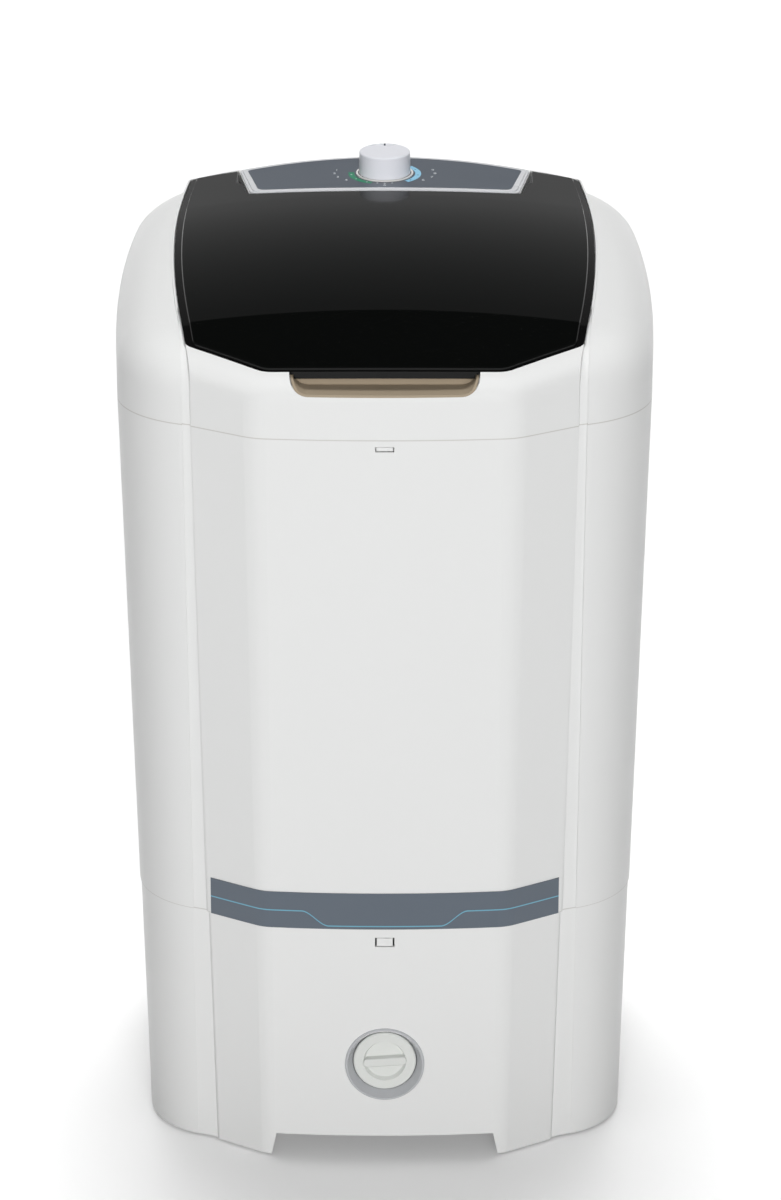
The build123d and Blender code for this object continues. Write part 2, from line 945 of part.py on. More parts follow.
hinge_z = top_at(hinge_lug_x, hinge_y) - hinge_drop
hinge_screw_spots = [(side * hinge_lug_x, hinge_y + step) for side in (-1, 1)
                     for step in (-hinge_screw_step, hinge_screw_step)]
fascia_top = bezel_rise - fascia_recess + fascia_thickness
dial_tilt = (0, -console_slope, 1)
dial_plane = Plane(origin=(0, knob_y, top_at(0, knob_y) + fascia_top), x_dir=(1, 0, 0),
                   z_dir=dial_tilt)


def rod(radius, low, high, spots=((0, 0),)):
    """Rods on the dial plane, between two heights above the fascia."""
    with BuildPart() as solid:
        with BuildSketch(dial_plane.offset(low)):
            with Locations(*spots):
                Circle(radius)
        extrude(amount=high - low)
    return solid.part


timer_ear_spots = [(-timer_ear_spacing / 2, 0), (timer_ear_spacing / 2, 0)]
boss_foot = -fascia_top - wall - timer_boss_length


def cover_groove():
    """The upper end of the grooves, which fade out along the creases."""
    floor = rolled_top(column_arcs(groove_depth), shoulder_drop + groove_depth,
                       shoulder_roll_radius - groove_depth)
    near = -half_depth - 20
    with BuildPart() as strip:
        with BuildSketch(Plane.XY.offset(top_seam - 5)):
            with BuildLine():
                Polyline((groove_inner_x, near), (groove_outer_x, near),
                         (groove_outer_x, groove_turn_y), (groove_fade_x, groove_fade_y),
                         (groove_inner_x, groove_turn_y), close=True)
            make_face()
        extrude(amount=ceiling - top_seam)
    return mirrored(strip.part - floor)


def cover_solid():
    """Rolled shoulders, the well under the lid and the console shelf, as one shell."""
    solid = cover_outside - cover_inside - opening + well()
    solid -= grip_shape(0, grip_floor_height, -half_depth - 20, grip_back_y)
    solid += clip(top_seam, upper_window_z, upper_window_height)
    solid += rod(timer_boss_radius, boss_foot, -fascia_top - wall / 2, timer_ear_spots)
    solid -= rod(shaft_hole_radius, boss_foot, 0)
    solid -= cover_groove()
    solid -= upright(screw_radius, hinge_shelf_height - 10, hinge_shelf_height + 1,
                     spots=hinge_screw_spots)
    return solid - rod(screw_radius, boss_foot - 1, -fascia_top - wall, timer_ear_spots)


# Top cover
with BuildPart() as top_cover:
    add(cover_solid())
top_cover.part.label = "top_cover"
export_step(top_cover.part, "parts/top_cover.step")


def crease_x(y):
    """Half the width between the creases of the top."""
    return crease_side[0].X + sqrt(crease_radius**2 - (y - crease_widest_y)**2)


def ear_relief():
    """What the ears of the lid leave free, so that they swing past the opening."""
    inner_x = console_rear_half_width + console_gap - lid_gap + ear_swing_gap
    outer_x = crease_x(hinge_y + ear_swing_radius) - lid_side_inset + lid_gap - ear_swing_gap
    start = hinge_y - ear_relief_reach
    with BuildPart() as solid:
        with BuildSketch(Plane.XY.offset(top_seam)):
            with BuildLine():
                Polyline((0, half_depth), (inner_x, half_depth), (inner_x, start),
                         (inner_x - ear_relief_taper, start - ear_relief_taper),
                         (0, start - ear_relief_taper), close=True)
            make_face()
            with BuildLine():
                Polyline((outer_x, half_depth), (outer_x, start + ear_relief_taper),
                         (crease_x(console_y), console_y), (half_depth, console_y),
                         (half_depth, half_depth), close=True)
            make_face()
        extrude(amount=ceiling - top_seam)
    return mirrored(solid.part)


# Lid: the lower frame with its skirt, ribs, hinge lugs and finger lip
lid_outline = lid_prism(0, console_gap, 0, ear_radius=lid_ear_radius) - ear_relief()
frame_top = lowered(lid_crown, lid_drop)
frame_under = lowered(lid_crown, lid_drop + lid_frame_thickness)
in_front = block((-body_width, body_width), (-body_depth, console_y), (top_seam, ceiling))


def lid_ring(outer, inner, depth, front_extra=0):
    """Wall that hangs from the frame, between two outlines of the lid."""
    tube = lid_prism(outer, outer, outer, front_extra) - lid_prism(inner, inner, inner, front_extra)
    hanging = lowered(lid_crown, lid_drop + lid_frame_thickness + depth)
    return (tube & in_front & lowered(lid_crown, lid_drop + lid_frame_thickness / 2)) - hanging


def lid_ribs():
    """Ribs across and along the underside of the frame, inside its skirt."""
    half = lid_rib_thickness / 2
    ribs = None
    for x in (-110, -55, 0, 55, 110):
        rib = block((x - half, x + half), (-body_depth, body_depth), (top_seam, ceiling))
        ribs = rib if ribs is None else ribs + rib
    for y in (-130, -50, 30):
        ribs += block((-body_width, body_width), (y - half, y + half), (top_seam, ceiling))
    inside = lid_prism(lid_skirt_inset + 1, lid_skirt_inset + 1, lid_skirt_inset, well_front_extra)
    ribs = ribs & inside & in_front & lowered(lid_crown, lid_drop + lid_frame_thickness / 2)
    return ribs - lowered(lid_crown, lid_drop + lid_frame_thickness + lid_rib_height)


def hinge_lugs():
    half = hinge_lug_width / 2
    height = hinge_drop - lid_drop - lid_frame_thickness / 2
    with BuildPart() as lug:
        with BuildSketch(Plane.YZ.offset(hinge_lug_x - half)):
            with Locations((hinge_y, hinge_z)):
                Circle(hinge_lug_radius)
            with Locations((hinge_y, hinge_z + height / 2)):
                Rectangle(2 * hinge_lug_radius, height)
        extrude(amount=hinge_lug_width)
    return mirrored(lug.part)


def cross_rod(radius, x_range):
    """Rod along the hinge axis, and its mirror image."""
    with BuildPart() as solid:
        with BuildSketch(Plane.YZ.offset(x_range[0])):
            with Locations((hinge_y, hinge_z)):
                Circle(radius)
        extrude(amount=x_range[1] - x_range[0])
    return mirrored(solid.part)


with BuildPart() as lid_frame:
    add((lid_outline & frame_top) - frame_under)
    add(lid_ring(lid_skirt_inset, lid_skirt_inset + lid_skirt_thickness, lid_skirt_height,
                 well_front_extra))
    add(lid_ribs())
    finger_lip = lid_ring(0, finger_lip_thickness, finger_lip_height)
    half_lip = grip_half_width - insert_gap - insert_wall - 1.5
    add(finger_lip & block((-half_lip, half_lip), (-body_depth, crease_y), (top_seam, ceiling)))
    add(hinge_lugs())
    add(cross_rod(hinge_pin_radius + running_gap, (hinge_lug_x - 10, hinge_lug_x + 10)),
        mode=Mode.SUBTRACT)
lid_frame.part.label = "lid_frame"
export_step(lid_frame.part, "parts/lid_frame.step")

# Raised glossy panel on the frame
with BuildPart() as lid_panel:
    add(lid_prism(lid_border, console_gap + 1.5, lid_border, lid_front_border - lid_border,
                  lid_ear_radius - lid_border))
    add(ear_relief(), mode=Mode.SUBTRACT)
    add(lowered(lid_crown, -lid_panel_rise), mode=Mode.INTERSECT)
    add(frame_top, mode=Mode.SUBTRACT)
    chamfer(top_rim(lid_panel.part), lid_edge_chamfer)
lid_panel.part.label = "lid_panel"
export_step(lid_panel.part, "parts/lid_panel.step")

# Hinge brackets on the shelves, with their pins and screws
cheek_inner = hinge_lug_x - hinge_lug_width / 2 - hinge_side_gap
cheek_outer = hinge_lug_x + hinge_lug_width / 2 + hinge_side_gap
foot_top = hinge_shelf_height + hinge_foot_thickness


def hinge_cheek(x_low):
    """One cheek of a bracket, from its foot up round the pin."""
    with BuildPart() as cheek:
        with BuildSketch(Plane.YZ.offset(x_low)):
            with Locations((hinge_y, hinge_z)):
                Circle(hinge_cheek_radius)
            with BuildLine():
                Polyline((hinge_y - hinge_cheek_radius, hinge_z),
                         (hinge_y - hinge_foot_reach, foot_top - 1),
                         (hinge_y + hinge_cheek_radius, foot_top - 1),
                         (hinge_y + hinge_cheek_radius, hinge_z), close=True)
            make_face()
        extrude(amount=hinge_cheek_width)
    return cheek.part


with BuildPart() as hinge_brackets:
    foot = block((cheek_inner - hinge_cheek_width, cheek_outer + hinge_cheek_width),
                 (hinge_y - hinge_foot_reach, hinge_y + hinge_foot_reach),
                 (hinge_shelf_height, foot_top))
    add(mirrored(foot + hinge_cheek(cheek_inner - hinge_cheek_width) + hinge_cheek(cheek_outer)))
    add(cross_rod(hinge_pin_radius, (cheek_inner - 10, cheek_outer + 10)), mode=Mode.SUBTRACT)
    with Locations(*[(x, y, foot_top) for x, y in hinge_screw_spots]):
        Cylinder(screw_radius + 0.2, 10, mode=Mode.SUBTRACT)
hinge_brackets.part.label = "hinge_brackets"
export_step(hinge_brackets.part, "parts/hinge_brackets.step")

with BuildPart() as hinge_pins:
    add(cross_rod(hinge_pin_radius, (cheek_inner - hinge_cheek_width - 1,
                                     cheek_outer + hinge_cheek_width + 1)))
hinge_pins.part.label = "hinge_pins"
export_step(hinge_pins.part, "parts/hinge_pins.step")


with BuildPart() as hinge_screws:
    add(screws(hinge_screw_spots, screw_radius, 8, screw_head_radius, screw_head_height,
               Plane.XY.offset(foot_top)))
hinge_screws.part.label = "hinge_screws"
export_step(hinge_screws.part, "parts/hinge_screws.step")

# Rubber bumpers on the ledge, just under the closed lid
with BuildPart() as lid_bumpers:
    for y in (-80, 60):
        x = crease_x(y) - lid_side_inset - bumper_radius
        with Locations((x, y, crown_height - 50), (-x, y, crown_height - 50)):
            Cylinder(bumper_radius, 200)
    add(lowered(lid_crown, lid_drop + lid_frame_thickness + bumper_gap), mode=Mode.INTERSECT)
    add(lowered(smooth_crown, ledge_drop), mode=Mode.SUBTRACT)
lid_bumpers.part.label = "lid_bumpers"
export_step(lid_bumpers.part, "parts/lid_bumpers.step")

# Tray that lines the finger recess
with BuildPart() as finger_grip_insert:
    back = grip_back_y - insert_gap
    add(grip_shape(insert_gap, grip_floor_height, -half_depth, back))
    add(grip_shape(insert_gap + insert_wall, grip_floor_height + insert_wall, -half_depth - 10,
                   back - insert_wall), mode=Mode.SUBTRACT)
    add(lowered(smooth_crown, ledge_drop), mode=Mode.INTERSECT)
    add(cover_outside, mode=Mode.INTERSECT)
finger_grip_insert.part.label = "finger_grip_insert"
export_step(finger_grip_insert.part, "parts/finger_grip_insert.step")

# Console: bezel, fascia and dial ring, all following the crowned top
above_shelf = level_slab(console_height - 24, ceiling)
step_inset = bezel_step_width
fascia_edge = fascia_edge_inset + bezel_step_width


def raised(prism_solid, low, high):
    """The part of a prism between two heights above the crowned top."""
    return (prism_solid & lowered(smooth_crown, -high)) - lowered(smooth_crown, -low)


with BuildPart() as console_bezel:
    add(console_prism(0) & lowered(smooth_crown, -bezel_step_rise))
    add(console_prism(-step_inset) & lowered(smooth_crown, -bezel_rise))
    add(cover_outside, mode=Mode.SUBTRACT)
    add(above_shelf, mode=Mode.INTERSECT)
    recess = console_prism(0, fascia_edge, fascia_side_inset)
    add(recess - lowered(smooth_crown, fascia_recess - bezel_rise), mode=Mode.SUBTRACT)
    add(rod(shaft_hole_radius, -20, 20), mode=Mode.SUBTRACT)
console_bezel.part.label = "console_bezel"
export_step(console_bezel.part, "parts/console_bezel.step")

with BuildPart() as fascia_panel:
    add(raised(console_prism(-seat_gap, fascia_edge, fascia_side_inset),
               bezel_rise - fascia_recess, fascia_top))
    add(rod(shaft_hole_radius, -20, 20), mode=Mode.SUBTRACT)
fascia_panel.part.label = "fascia_panel"
export_step(fascia_panel.part, "parts/fascia_panel.step")

with BuildPart() as dial_ring:
    ring = rod(dial_ring_radius, -5, 10) - rod(dial_ring_radius - dial_ring_width, -6, 11)
    add(raised(ring, fascia_top, fascia_top + dial_ring_height))
dial_ring.part.label = "dial_ring"
export_step(dial_ring.part, "parts/dial_ring.step")


def shaft_section(gap):
    """Round shaft with a flat, grown by a gap."""
    with BuildSketch() as outline:
        Circle(timer_shaft_radius + gap)
        with Locations((0, timer_flat + gap + timer_shaft_radius)):
            Rectangle(3 * timer_shaft_radius, 2 * timer_shaft_radius, mode=Mode.SUBTRACT)
    return outline.sketch


# Timer: body under the shelf, shaft through the console and knob on top
knob_base = knob_clearance
knob_top = knob_base + knob_height
shaft_top = knob_top - 4
shaft_foot = boss_foot - 16
with BuildPart() as timer_shaft:
    extrude(dial_plane.offset(shaft_foot) * shaft_section(0), amount=shaft_top - shaft_foot)
timer_shaft.part.label = "timer_shaft"
export_step(timer_shaft.part, "parts/timer_shaft.step")

with BuildPart() as timer_knob:
    with BuildSketch(dial_plane.offset(knob_base)):
        Circle(knob_radius)
    extrude(amount=knob_height, taper=1)
    fillet(timer_knob.edges().filter_by(GeomType.CIRCLE).sort_by(Axis.Z)[-1], knob_edge_radius)
    add(rod(knob_radius - knob_wall - 0.5, knob_base - 1, knob_top - knob_wall - 0.5),
        mode=Mode.SUBTRACT)
    add(rod(knob_hub_radius, knob_base + 0.5, knob_top - knob_wall))
    extrude(dial_plane.offset(knob_base - 1) * shaft_section(0.02),
            amount=shaft_top - knob_base + 1, mode=Mode.SUBTRACT)
    with BuildSketch(dial_plane.offset(knob_top - 0.8)):
        with Locations((0, knob_radius - 6)):
            SlotOverall(5, 1.6, rotation=90)
    extrude(amount=3, mode=Mode.SUBTRACT)
timer_knob.part.label = "timer_knob"
export_step(timer_knob.part, "parts/timer_knob.step")

with BuildPart() as timer_body:
    with BuildSketch(dial_plane.offset(boss_foot)):
        RectangleRounded(timer_size, timer_size, 6)
    extrude(amount=-timer_depth)
    with BuildSketch(dial_plane.offset(boss_foot)):
        SlotOverall(timer_ear_spacing + timer_ear_width, timer_ear_width)
    extrude(amount=-timer_ear_thickness)
    with BuildSketch(dial_plane.offset(boss_foot - timer_depth)):
        with GridLocations(12, 16, 3, 2):
            Rectangle(6.3, 0.8)
    extrude(amount=-8)
    add(rod(timer_shaft_radius + running_gap, shaft_foot - 0.3, 0), mode=Mode.SUBTRACT)
    add(rod(screw_radius + 0.2, boss_foot - 10, 0, timer_ear_spots), mode=Mode.SUBTRACT)
timer_body.part.label = "timer_body"
export_step(timer_body.part, "parts/timer_body.step")

ear_under = dial_plane.offset(boss_foot - timer_ear_thickness)
with BuildPart() as timer_screws:
    flipped = Plane(origin=ear_under.origin, x_dir=ear_under.x_dir, z_dir=ear_under.z_dir * -1)
    add(screws(timer_ear_spots, screw_radius, timer_ear_thickness + timer_boss_length - 2,
               screw_head_radius, screw_head_height, flipped))
timer_screws.part.label = "timer_screws"
export_step(timer_screws.part, "parts/timer_screws.step")


def tub_form(inset, low, high):
    """Tapering form of the tub between two heights, drawn in by an inset."""
    top = (tub_top_width, tub_top_depth, tub_top_corner)
    floor = (tub_floor_width, tub_floor_depth, tub_floor_corner)
    levels = []
    for height in (low, high):
        share = (height - tub_floor_height) / (tub_rim_height - tub_floor_height)
        width, depth, corner = [a + (b - a) * share for a, b in zip(floor, top)]
        with BuildSketch(Plane.XY.offset(height)) as level:
            with Locations((0, tub_y)):
                RectangleRounded(width - 2 * inset, depth - 2 * inset, corner - inset)
        levels.append(level.sketch)
    with BuildPart() as solid:
        loft(levels, ruled=True)
    return solid.part


ring_bottom = deck_height - deck_thickness
tub_rim_height = ring_bottom - tub_seal_thickness
flange_low = tub_rim_height - tub_flange_thickness
frame_top_z = frame_height + frame_thickness
leg_spots = [(x, tub_y + y) for x in (-tub_leg_spacing_x / 2, tub_leg_spacing_x / 2)
             for y in (-tub_leg_spacing_y / 2, tub_leg_spacing_y / 2)]
housing_bolt_spots = spread(housing_bolt_circle / 2, 4, 45, 0, tub_y)
ring_screw_spots = [(x, y) for x in (-ring_screw_x, ring_screw_x)
                    for y in (tub_y - ring_screw_y, tub_y, tub_y + ring_screw_y)]


def flange_form(low, high, width_extra=0):
    return rounded_box(tub_top_width + 2 * tub_flange_width + width_extra,
                       tub_top_depth + 2 * tub_flange_width + width_extra,
                       tub_top_corner + tub_flange_width + width_extra / 2, low, high, tub_y)


# Wash tub with its flange, legs, drain spigot and the seat for the bearing
with BuildPart() as wash_tub:
    add(tub_form(0, tub_floor_height - tub_wall, tub_rim_height))
    add(flange_form(flange_low, tub_rim_height))
    add(tub_form(tub_wall, tub_floor_height, tub_rim_height + 1), mode=Mode.SUBTRACT)
    add(upright(tub_leg_radius, frame_top_z + seat_gap, tub_floor_height, spots=leg_spots))
    add(upright(tub_leg_radius - tub_wall, frame_top_z - 1, tub_floor_height - 8, spots=leg_spots),
        mode=Mode.SUBTRACT)
    add(upright(spigot_radius, spigot_low, tub_floor_height, y=drain_port_y))
    add(upright(spigot_radius - tub_wall, spigot_low - 1, tub_floor_height + 1, y=drain_port_y),
        mode=Mode.SUBTRACT)
    add(upright(housing_barrel_radius + 0.3, tub_floor_height - 10, tub_floor_height + 5, y=tub_y),
        mode=Mode.SUBTRACT)
    add(upright(bolt_radius + 0.3, tub_floor_height - 10, tub_floor_height + 5,
                spots=housing_bolt_spots), mode=Mode.SUBTRACT)
    add(upright(screw_radius, flange_low - 1, tub_rim_height + 1, spots=ring_screw_spots),
        mode=Mode.SUBTRACT)
wash_tub.part.label = "wash_tub"
export_step(wash_tub.part, "parts/wash_tub.step")


def mouth_form(inset, low, high):
    return rounded_box(mouth_width - 2 * inset, mouth_depth - 2 * inset, mouth_corner - inset,
                       low, high, mouth_y)


# Seal and splash ring on the rim of the tub
with BuildPart() as tub_seal:
    add(flange_form(tub_rim_height, ring_bottom, -3))
    add(flange_form(tub_rim_height - 1, ring_bottom + 1, -2 * tub_flange_width - 2),
        mode=Mode.SUBTRACT)
    add(upright(screw_radius + 0.3, flange_low, ring_bottom + 1, spots=ring_screw_spots),
        mode=Mode.SUBTRACT)
tub_seal.part.label = "tub_seal"
export_step(tub_seal.part, "parts/tub_seal.step")

with BuildPart() as mouth_ring:
    add(flange_form(ring_bottom, deck_height))
    add(mouth_form(-deck_thickness, ring_bottom - mouth_lip, deck_height))
    fillet(mouth_ring.faces().filter_by(Plane.XY).sort_by(Axis.Z)[-1].outer_wire().edges(), 1)
    add(mouth_form(0, ring_bottom - mouth_lip - 1, deck_height + 1), mode=Mode.SUBTRACT)
    fillet(mouth_ring.faces().filter_by(Plane.XY).sort_by(Axis.Z)[-1].inner_wires().edges(), 2)
    add(upright(screw_radius + 0.2, ring_bottom - 1, deck_height + 1, spots=ring_screw_spots),
        mode=Mode.SUBTRACT)
mouth_ring.part.label = "mouth_ring"
export_step(mouth_ring.part, "parts/mouth_ring.step")

with BuildPart() as ring_screws:
    add(screws(ring_screw_spots, screw_radius, deck_thickness + tub_seal_thickness + 7,
               screw_head_radius, screw_head_height, Plane.XY.offset(deck_height)))
ring_screws.part.label = "ring_screws"
export_step(ring_screws.part, "parts/ring_screws.step")

# Pulsator: a dished plate with raised vanes, on the splined end of the drive shaft
pulsator_low = tub_floor_height + pulsator_lift
pulsator_plate_top = pulsator_low + pulsator_thickness
hub_top = pulsator_low + pulsator_hub_height
shaft_top = hub_top - 9


def at_tub(solid):
    return Pos(0, tub_y, 0) * solid


def pulsator_vanes():
    """Raised vanes that run out from the hub."""
    middle = (pulsator_hub_radius + pulsator_radius - 12) / 2
    with BuildPart() as vanes:
        with BuildSketch(Plane.XY.offset(pulsator_low + 1)):
            with PolarLocations(middle, pulsator_vane_count):
                SlotOverall(pulsator_radius - pulsator_hub_radius, pulsator_vane_width)
        extrude(amount=pulsator_vane_height, taper=14)
        fillet(vanes.faces().filter_by(Plane.XY).group_by(Axis.Z)[-1].edges(), 2)
    return vanes.part


with BuildPart() as pulsator:
    with BuildSketch(Plane.XZ):
        with BuildLine():
            hub, rim = pulsator_hub_radius, pulsator_radius
            Line((0, pulsator_low), (rim, pulsator_low))
            Line((rim, pulsator_low), (rim, pulsator_plate_top - 1))
            ThreePointArc((rim, pulsator_plate_top - 1), (rim - 0.4, pulsator_plate_top - 0.4),
                          (rim - 1, pulsator_plate_top))
            ThreePointArc((rim - 1, pulsator_plate_top), ((rim + hub) / 2, pulsator_plate_top + 1),
                          (hub + 10, pulsator_plate_top + 6))
            ThreePointArc((hub + 10, pulsator_plate_top + 6), (hub - 2, hub_top - 9), (10, hub_top))
            Polyline((10, hub_top), (0, hub_top), (0, pulsator_low))
        make_face()
    revolve(axis=Axis.Z)
    add(pulsator_vanes())
    with BuildSketch(Plane.XY.offset(pulsator_low)):
        with PolarLocations(rim * 0.8, 2 * pulsator_vane_count, start_angle=15):
            Circle(pulsator_hole_radius)
        with PolarLocations(rim * 0.6, pulsator_vane_count, start_angle=30):
            Circle(pulsator_hole_radius)
    extrude(amount=pulsator_hub_height, mode=Mode.SUBTRACT)
    add(upright(screw_radius + 0.3, pulsator_low, hub_top + 1), mode=Mode.SUBTRACT)
    add(upright(shaft_radius + fit_gap / 20, pulsator_low - 1, shaft_top), mode=Mode.SUBTRACT)
    add(upright(screw_head_radius + 1.5, hub_top - 4, hub_top + 1), mode=Mode.SUBTRACT)
pulsator.part = at_tub(pulsator.part)
pulsator.part.label = "pulsator"
export_step(pulsator.part, "parts/pulsator.step")

with BuildPart() as pulsator_screw:
    add(screws([(0, tub_y)], screw_radius, 12, screw_head_radius + 1, screw_head_height,
               Plane.XY.offset(hub_top - 4)))
pulsator_screw.part.label = "pulsator_screw"
export_step(pulsator_screw.part, "parts/pulsator_screw.step")

# Drive shaft in its bearing housing under the tub
with BuildPart() as drive_shaft:
    add(upright(shaft_radius, shaft_bottom, shaft_top - seat_gap))
    add(upright(screw_radius, hub_top - 18, shaft_top + 1), mode=Mode.SUBTRACT)
    chamfer(drive_shaft.edges().filter_by(GeomType.CIRCLE).sort_by(Axis.Z)[0], 1)
drive_shaft.part = at_tub(drive_shaft.part)
drive_shaft.part.label = "drive_shaft"
export_step(drive_shaft.part, "parts/drive_shaft.step")

housing_top = tub_floor_height - tub_wall
housing_flange_low = housing_top - housing_flange_thickness
barrel_top = tub_floor_height + 2
seal_low = barrel_top - shaft_seal_height
bush_radius = shaft_radius + bush_wall
bush_lows = (housing_bottom, seal_low - bush_length)

with BuildPart() as bearing_housing:
    add(upright(housing_barrel_radius, housing_bottom, barrel_top))
    add(upright(housing_flange_radius, housing_flange_low, housing_top))
    for angle in range(0, 180, 60):
        with BuildSketch(Plane(origin=(0, 0, 0), x_dir=(cos(radians(angle)), sin(radians(angle)), 0),
                               z_dir=(sin(radians(angle)), -cos(radians(angle)), 0))):
            with BuildLine():
                Polyline((-housing_flange_radius + 4, housing_flange_low),
                         (-housing_barrel_radius, housing_bottom + 8),
                         (housing_barrel_radius, housing_bottom + 8),
                         (housing_flange_radius - 4, housing_flange_low), close=True)
            make_face()
        extrude(amount=housing_rib / 2, both=True)
    add(upright(shaft_radius + 1, housing_bottom - 1, barrel_top + 1), mode=Mode.SUBTRACT)
    add(upright(bush_radius, housing_bottom - 1, housing_bottom + bush_length), mode=Mode.SUBTRACT)
    add(upright(bush_radius, seal_low - bush_length, seal_low), mode=Mode.SUBTRACT)
    add(upright(shaft_seal_radius, seal_low, barrel_top + 1), mode=Mode.SUBTRACT)
    add(upright(bolt_radius + fit_gap / 2, housing_flange_low - 1, housing_top + 1,
                spots=spread(housing_bolt_circle / 2, 4, 45)), mode=Mode.SUBTRACT)
bearing_housing.part = at_tub(bearing_housing.part)
bearing_housing.part.label = "bearing_housing"
export_step(bearing_housing.part, "parts/bearing_housing.step")

with BuildPart() as bearing_bushes:
    for low in bush_lows:
        add(upright(bush_radius, low, low + bush_length))
        add(upright(shaft_radius + running_gap, low - 1, low + bush_length + 1), mode=Mode.SUBTRACT)
bearing_bushes.part = at_tub(bearing_bushes.part)
bearing_bushes.part.label = "bearing_bushes"
export_step(bearing_bushes.part, "parts/bearing_bushes.step")

with BuildPart() as shaft_seal:
    add(upright(shaft_seal_radius, seal_low, barrel_top))
    add(upright(shaft_radius + running_gap, seal_low - 1, barrel_top + 1), mode=Mode.SUBTRACT)
    groove = upright(shaft_seal_radius - 1.5, barrel_top - 1.5, barrel_top + 1)
    add(groove - upright(shaft_radius + 1.5, seal_low, barrel_top + 2), mode=Mode.SUBTRACT)
shaft_seal.part = at_tub(shaft_seal.part)
shaft_seal.part.label = "shaft_seal"
export_step(shaft_seal.part, "parts/shaft_seal.step")

underside = Plane(origin=(0, 0, 0), x_dir=(1, 0, 0), z_dir=(0, 0, -1))


def bolts_up(spots, height, length):
    """Bolts that go up into a part, with their heads below this height."""
    flipped = [(x, -y) for x, y in spots]
    return screws(flipped, bolt_radius, length, bolt_head_radius, bolt_head_height,
                  underside.offset(-height))


with BuildPart() as housing_bolts:
    add(bolts_up(housing_bolt_spots, housing_flange_low, housing_flange_thickness + tub_wall + 3))
housing_bolts.part.label = "housing_bolts"
export_step(housing_bolts.part, "parts/housing_bolts.step")


def pulley(radius, bore, hub_radius, hub_drop):
    """Belt pulley about the upright axis at the height of the belt."""
    low = pulley_middle_height - pulley_width / 2
    high = pulley_middle_height + pulley_width / 2
    root = radius - pulley_groove_depth
    groove_half = belt_width / 2 + belt_gap
    wheel = turned([
        (0, low), (radius - 1, low), (radius, low + 1), (radius, low + 2.5),
        (root, pulley_middle_height - groove_half), (root, pulley_middle_height + groove_half),
        (radius, high - 2.5), (radius, high - 1), (radius - 1, high), (0, high),
    ])
    wheel += upright(hub_radius, low - hub_drop, high)
    return wheel - upright(bore, low - hub_drop - 1, high + 1)


with BuildPart() as driven_pulley:
    add(pulley(pulley_radius, shaft_radius + pulley_bore_gap, pulley_hub_radius, 0))
    low, high = pulley_middle_height - pulley_width / 2, pulley_middle_height + pulley_width / 2
    pocket = upright(pulley_radius - 14, high - pulley_width / 2 + 2, high + 1)
    pocket -= upright(pulley_hub_radius, low, high + 2)
    add(pocket, mode=Mode.SUBTRACT)
    with BuildSketch(Plane.XY.offset(low)):
        with PolarLocations((pulley_radius - 14 + pulley_hub_radius) / 2, 6):
            Circle(pulley_window_radius)
    extrude(amount=pulley_width, mode=Mode.SUBTRACT)
driven_pulley.part = at_tub(driven_pulley.part)
driven_pulley.part.label = "driven_pulley"
export_step(driven_pulley.part, "parts/driven_pulley.step")

with BuildPart() as pulley_nut:
    with BuildSketch(Plane.XY.offset(low)):
        RegularPolygon(nut_radius, 6)
    extrude(amount=-nut_height)
    add(upright(shaft_radius + pulley_bore_gap, low - nut_height - 1, low + 1), mode=Mode.SUBTRACT)
pulley_nut.part = at_tub(pulley_nut.part)
pulley_nut.part.label = "pulley_nut"
export_step(pulley_nut.part, "parts/pulley_nut.step")


def at_motor(solid):
    return Pos(0, motor_y, 0) * solid


with BuildPart() as motor_pulley:
    add(at_motor(pulley(motor_pulley_radius, motor_shaft_radius + pulley_bore_gap,
                        motor_pulley_radius - pulley_groove_depth - 1, 2)))
motor_pulley.part.label = "motor_pulley"
export_step(motor_pulley.part, "parts/motor_pulley.step")


def belt_loop(offset):
    """Outline round both pulleys, at this distance outside their grooves."""
    big = pulley_radius - pulley_groove_depth + offset
    small = motor_pulley_radius - pulley_groove_depth + offset
    distance = motor_y - tub_y
    lean = asin((big - small) / distance)
    with BuildSketch(Plane.XY.offset(pulley_middle_height - belt_width / 2)) as loop:
        with BuildLine():
            points = []
            for y, radius in ((tub_y, big), (motor_y, small)):
                points.append(Vector(radius * cos(lean), y + radius * sin(lean)))
            first, second = points
            Line(first, second)
            ThreePointArc(second, (0, motor_y + small), (-second.X, second.Y))
            Line((-second.X, second.Y), (-first.X, first.Y))
            ThreePointArc((-first.X, first.Y), (0, tub_y - big), first)
        make_face()
    return loop.sketch


with BuildPart() as drive_belt:
    extrude(belt_loop(belt_gap + belt_thickness), amount=belt_width)
    extrude(belt_loop(belt_gap), amount=belt_width, mode=Mode.SUBTRACT)
drive_belt.part.label = "drive_belt"
export_step(drive_belt.part, "parts/drive_belt.step")

# Motor: stator between two end caps, rotor on its shaft, hung on rubber mounts
motor_bottom = motor_top - motor_length
core_low, core_high = motor_bottom + motor_cap_height, motor_top - motor_cap_height
ear_spots = spread(motor_ear_circle / 2, 4, 45)
with BuildPart() as motor_stator:
    add(upright(motor_radius, core_low, core_high))
    add(upright(rotor_radius + rotor_gap, core_low - 1, core_high + 1), mode=Mode.SUBTRACT)
    coil = upright(motor_coil_radius, core_low - motor_coil_height, core_high + motor_coil_height)
    coil -= upright(rotor_radius + 4, core_low - 20, core_high + 20)
    add(coil - upright(motor_radius + 1, core_low + 1, core_high - 1))
motor_stator.part = at_motor(motor_stator.part)
motor_stator.part.label = "motor_stator"
export_step(motor_stator.part, "parts/motor_stator.step")


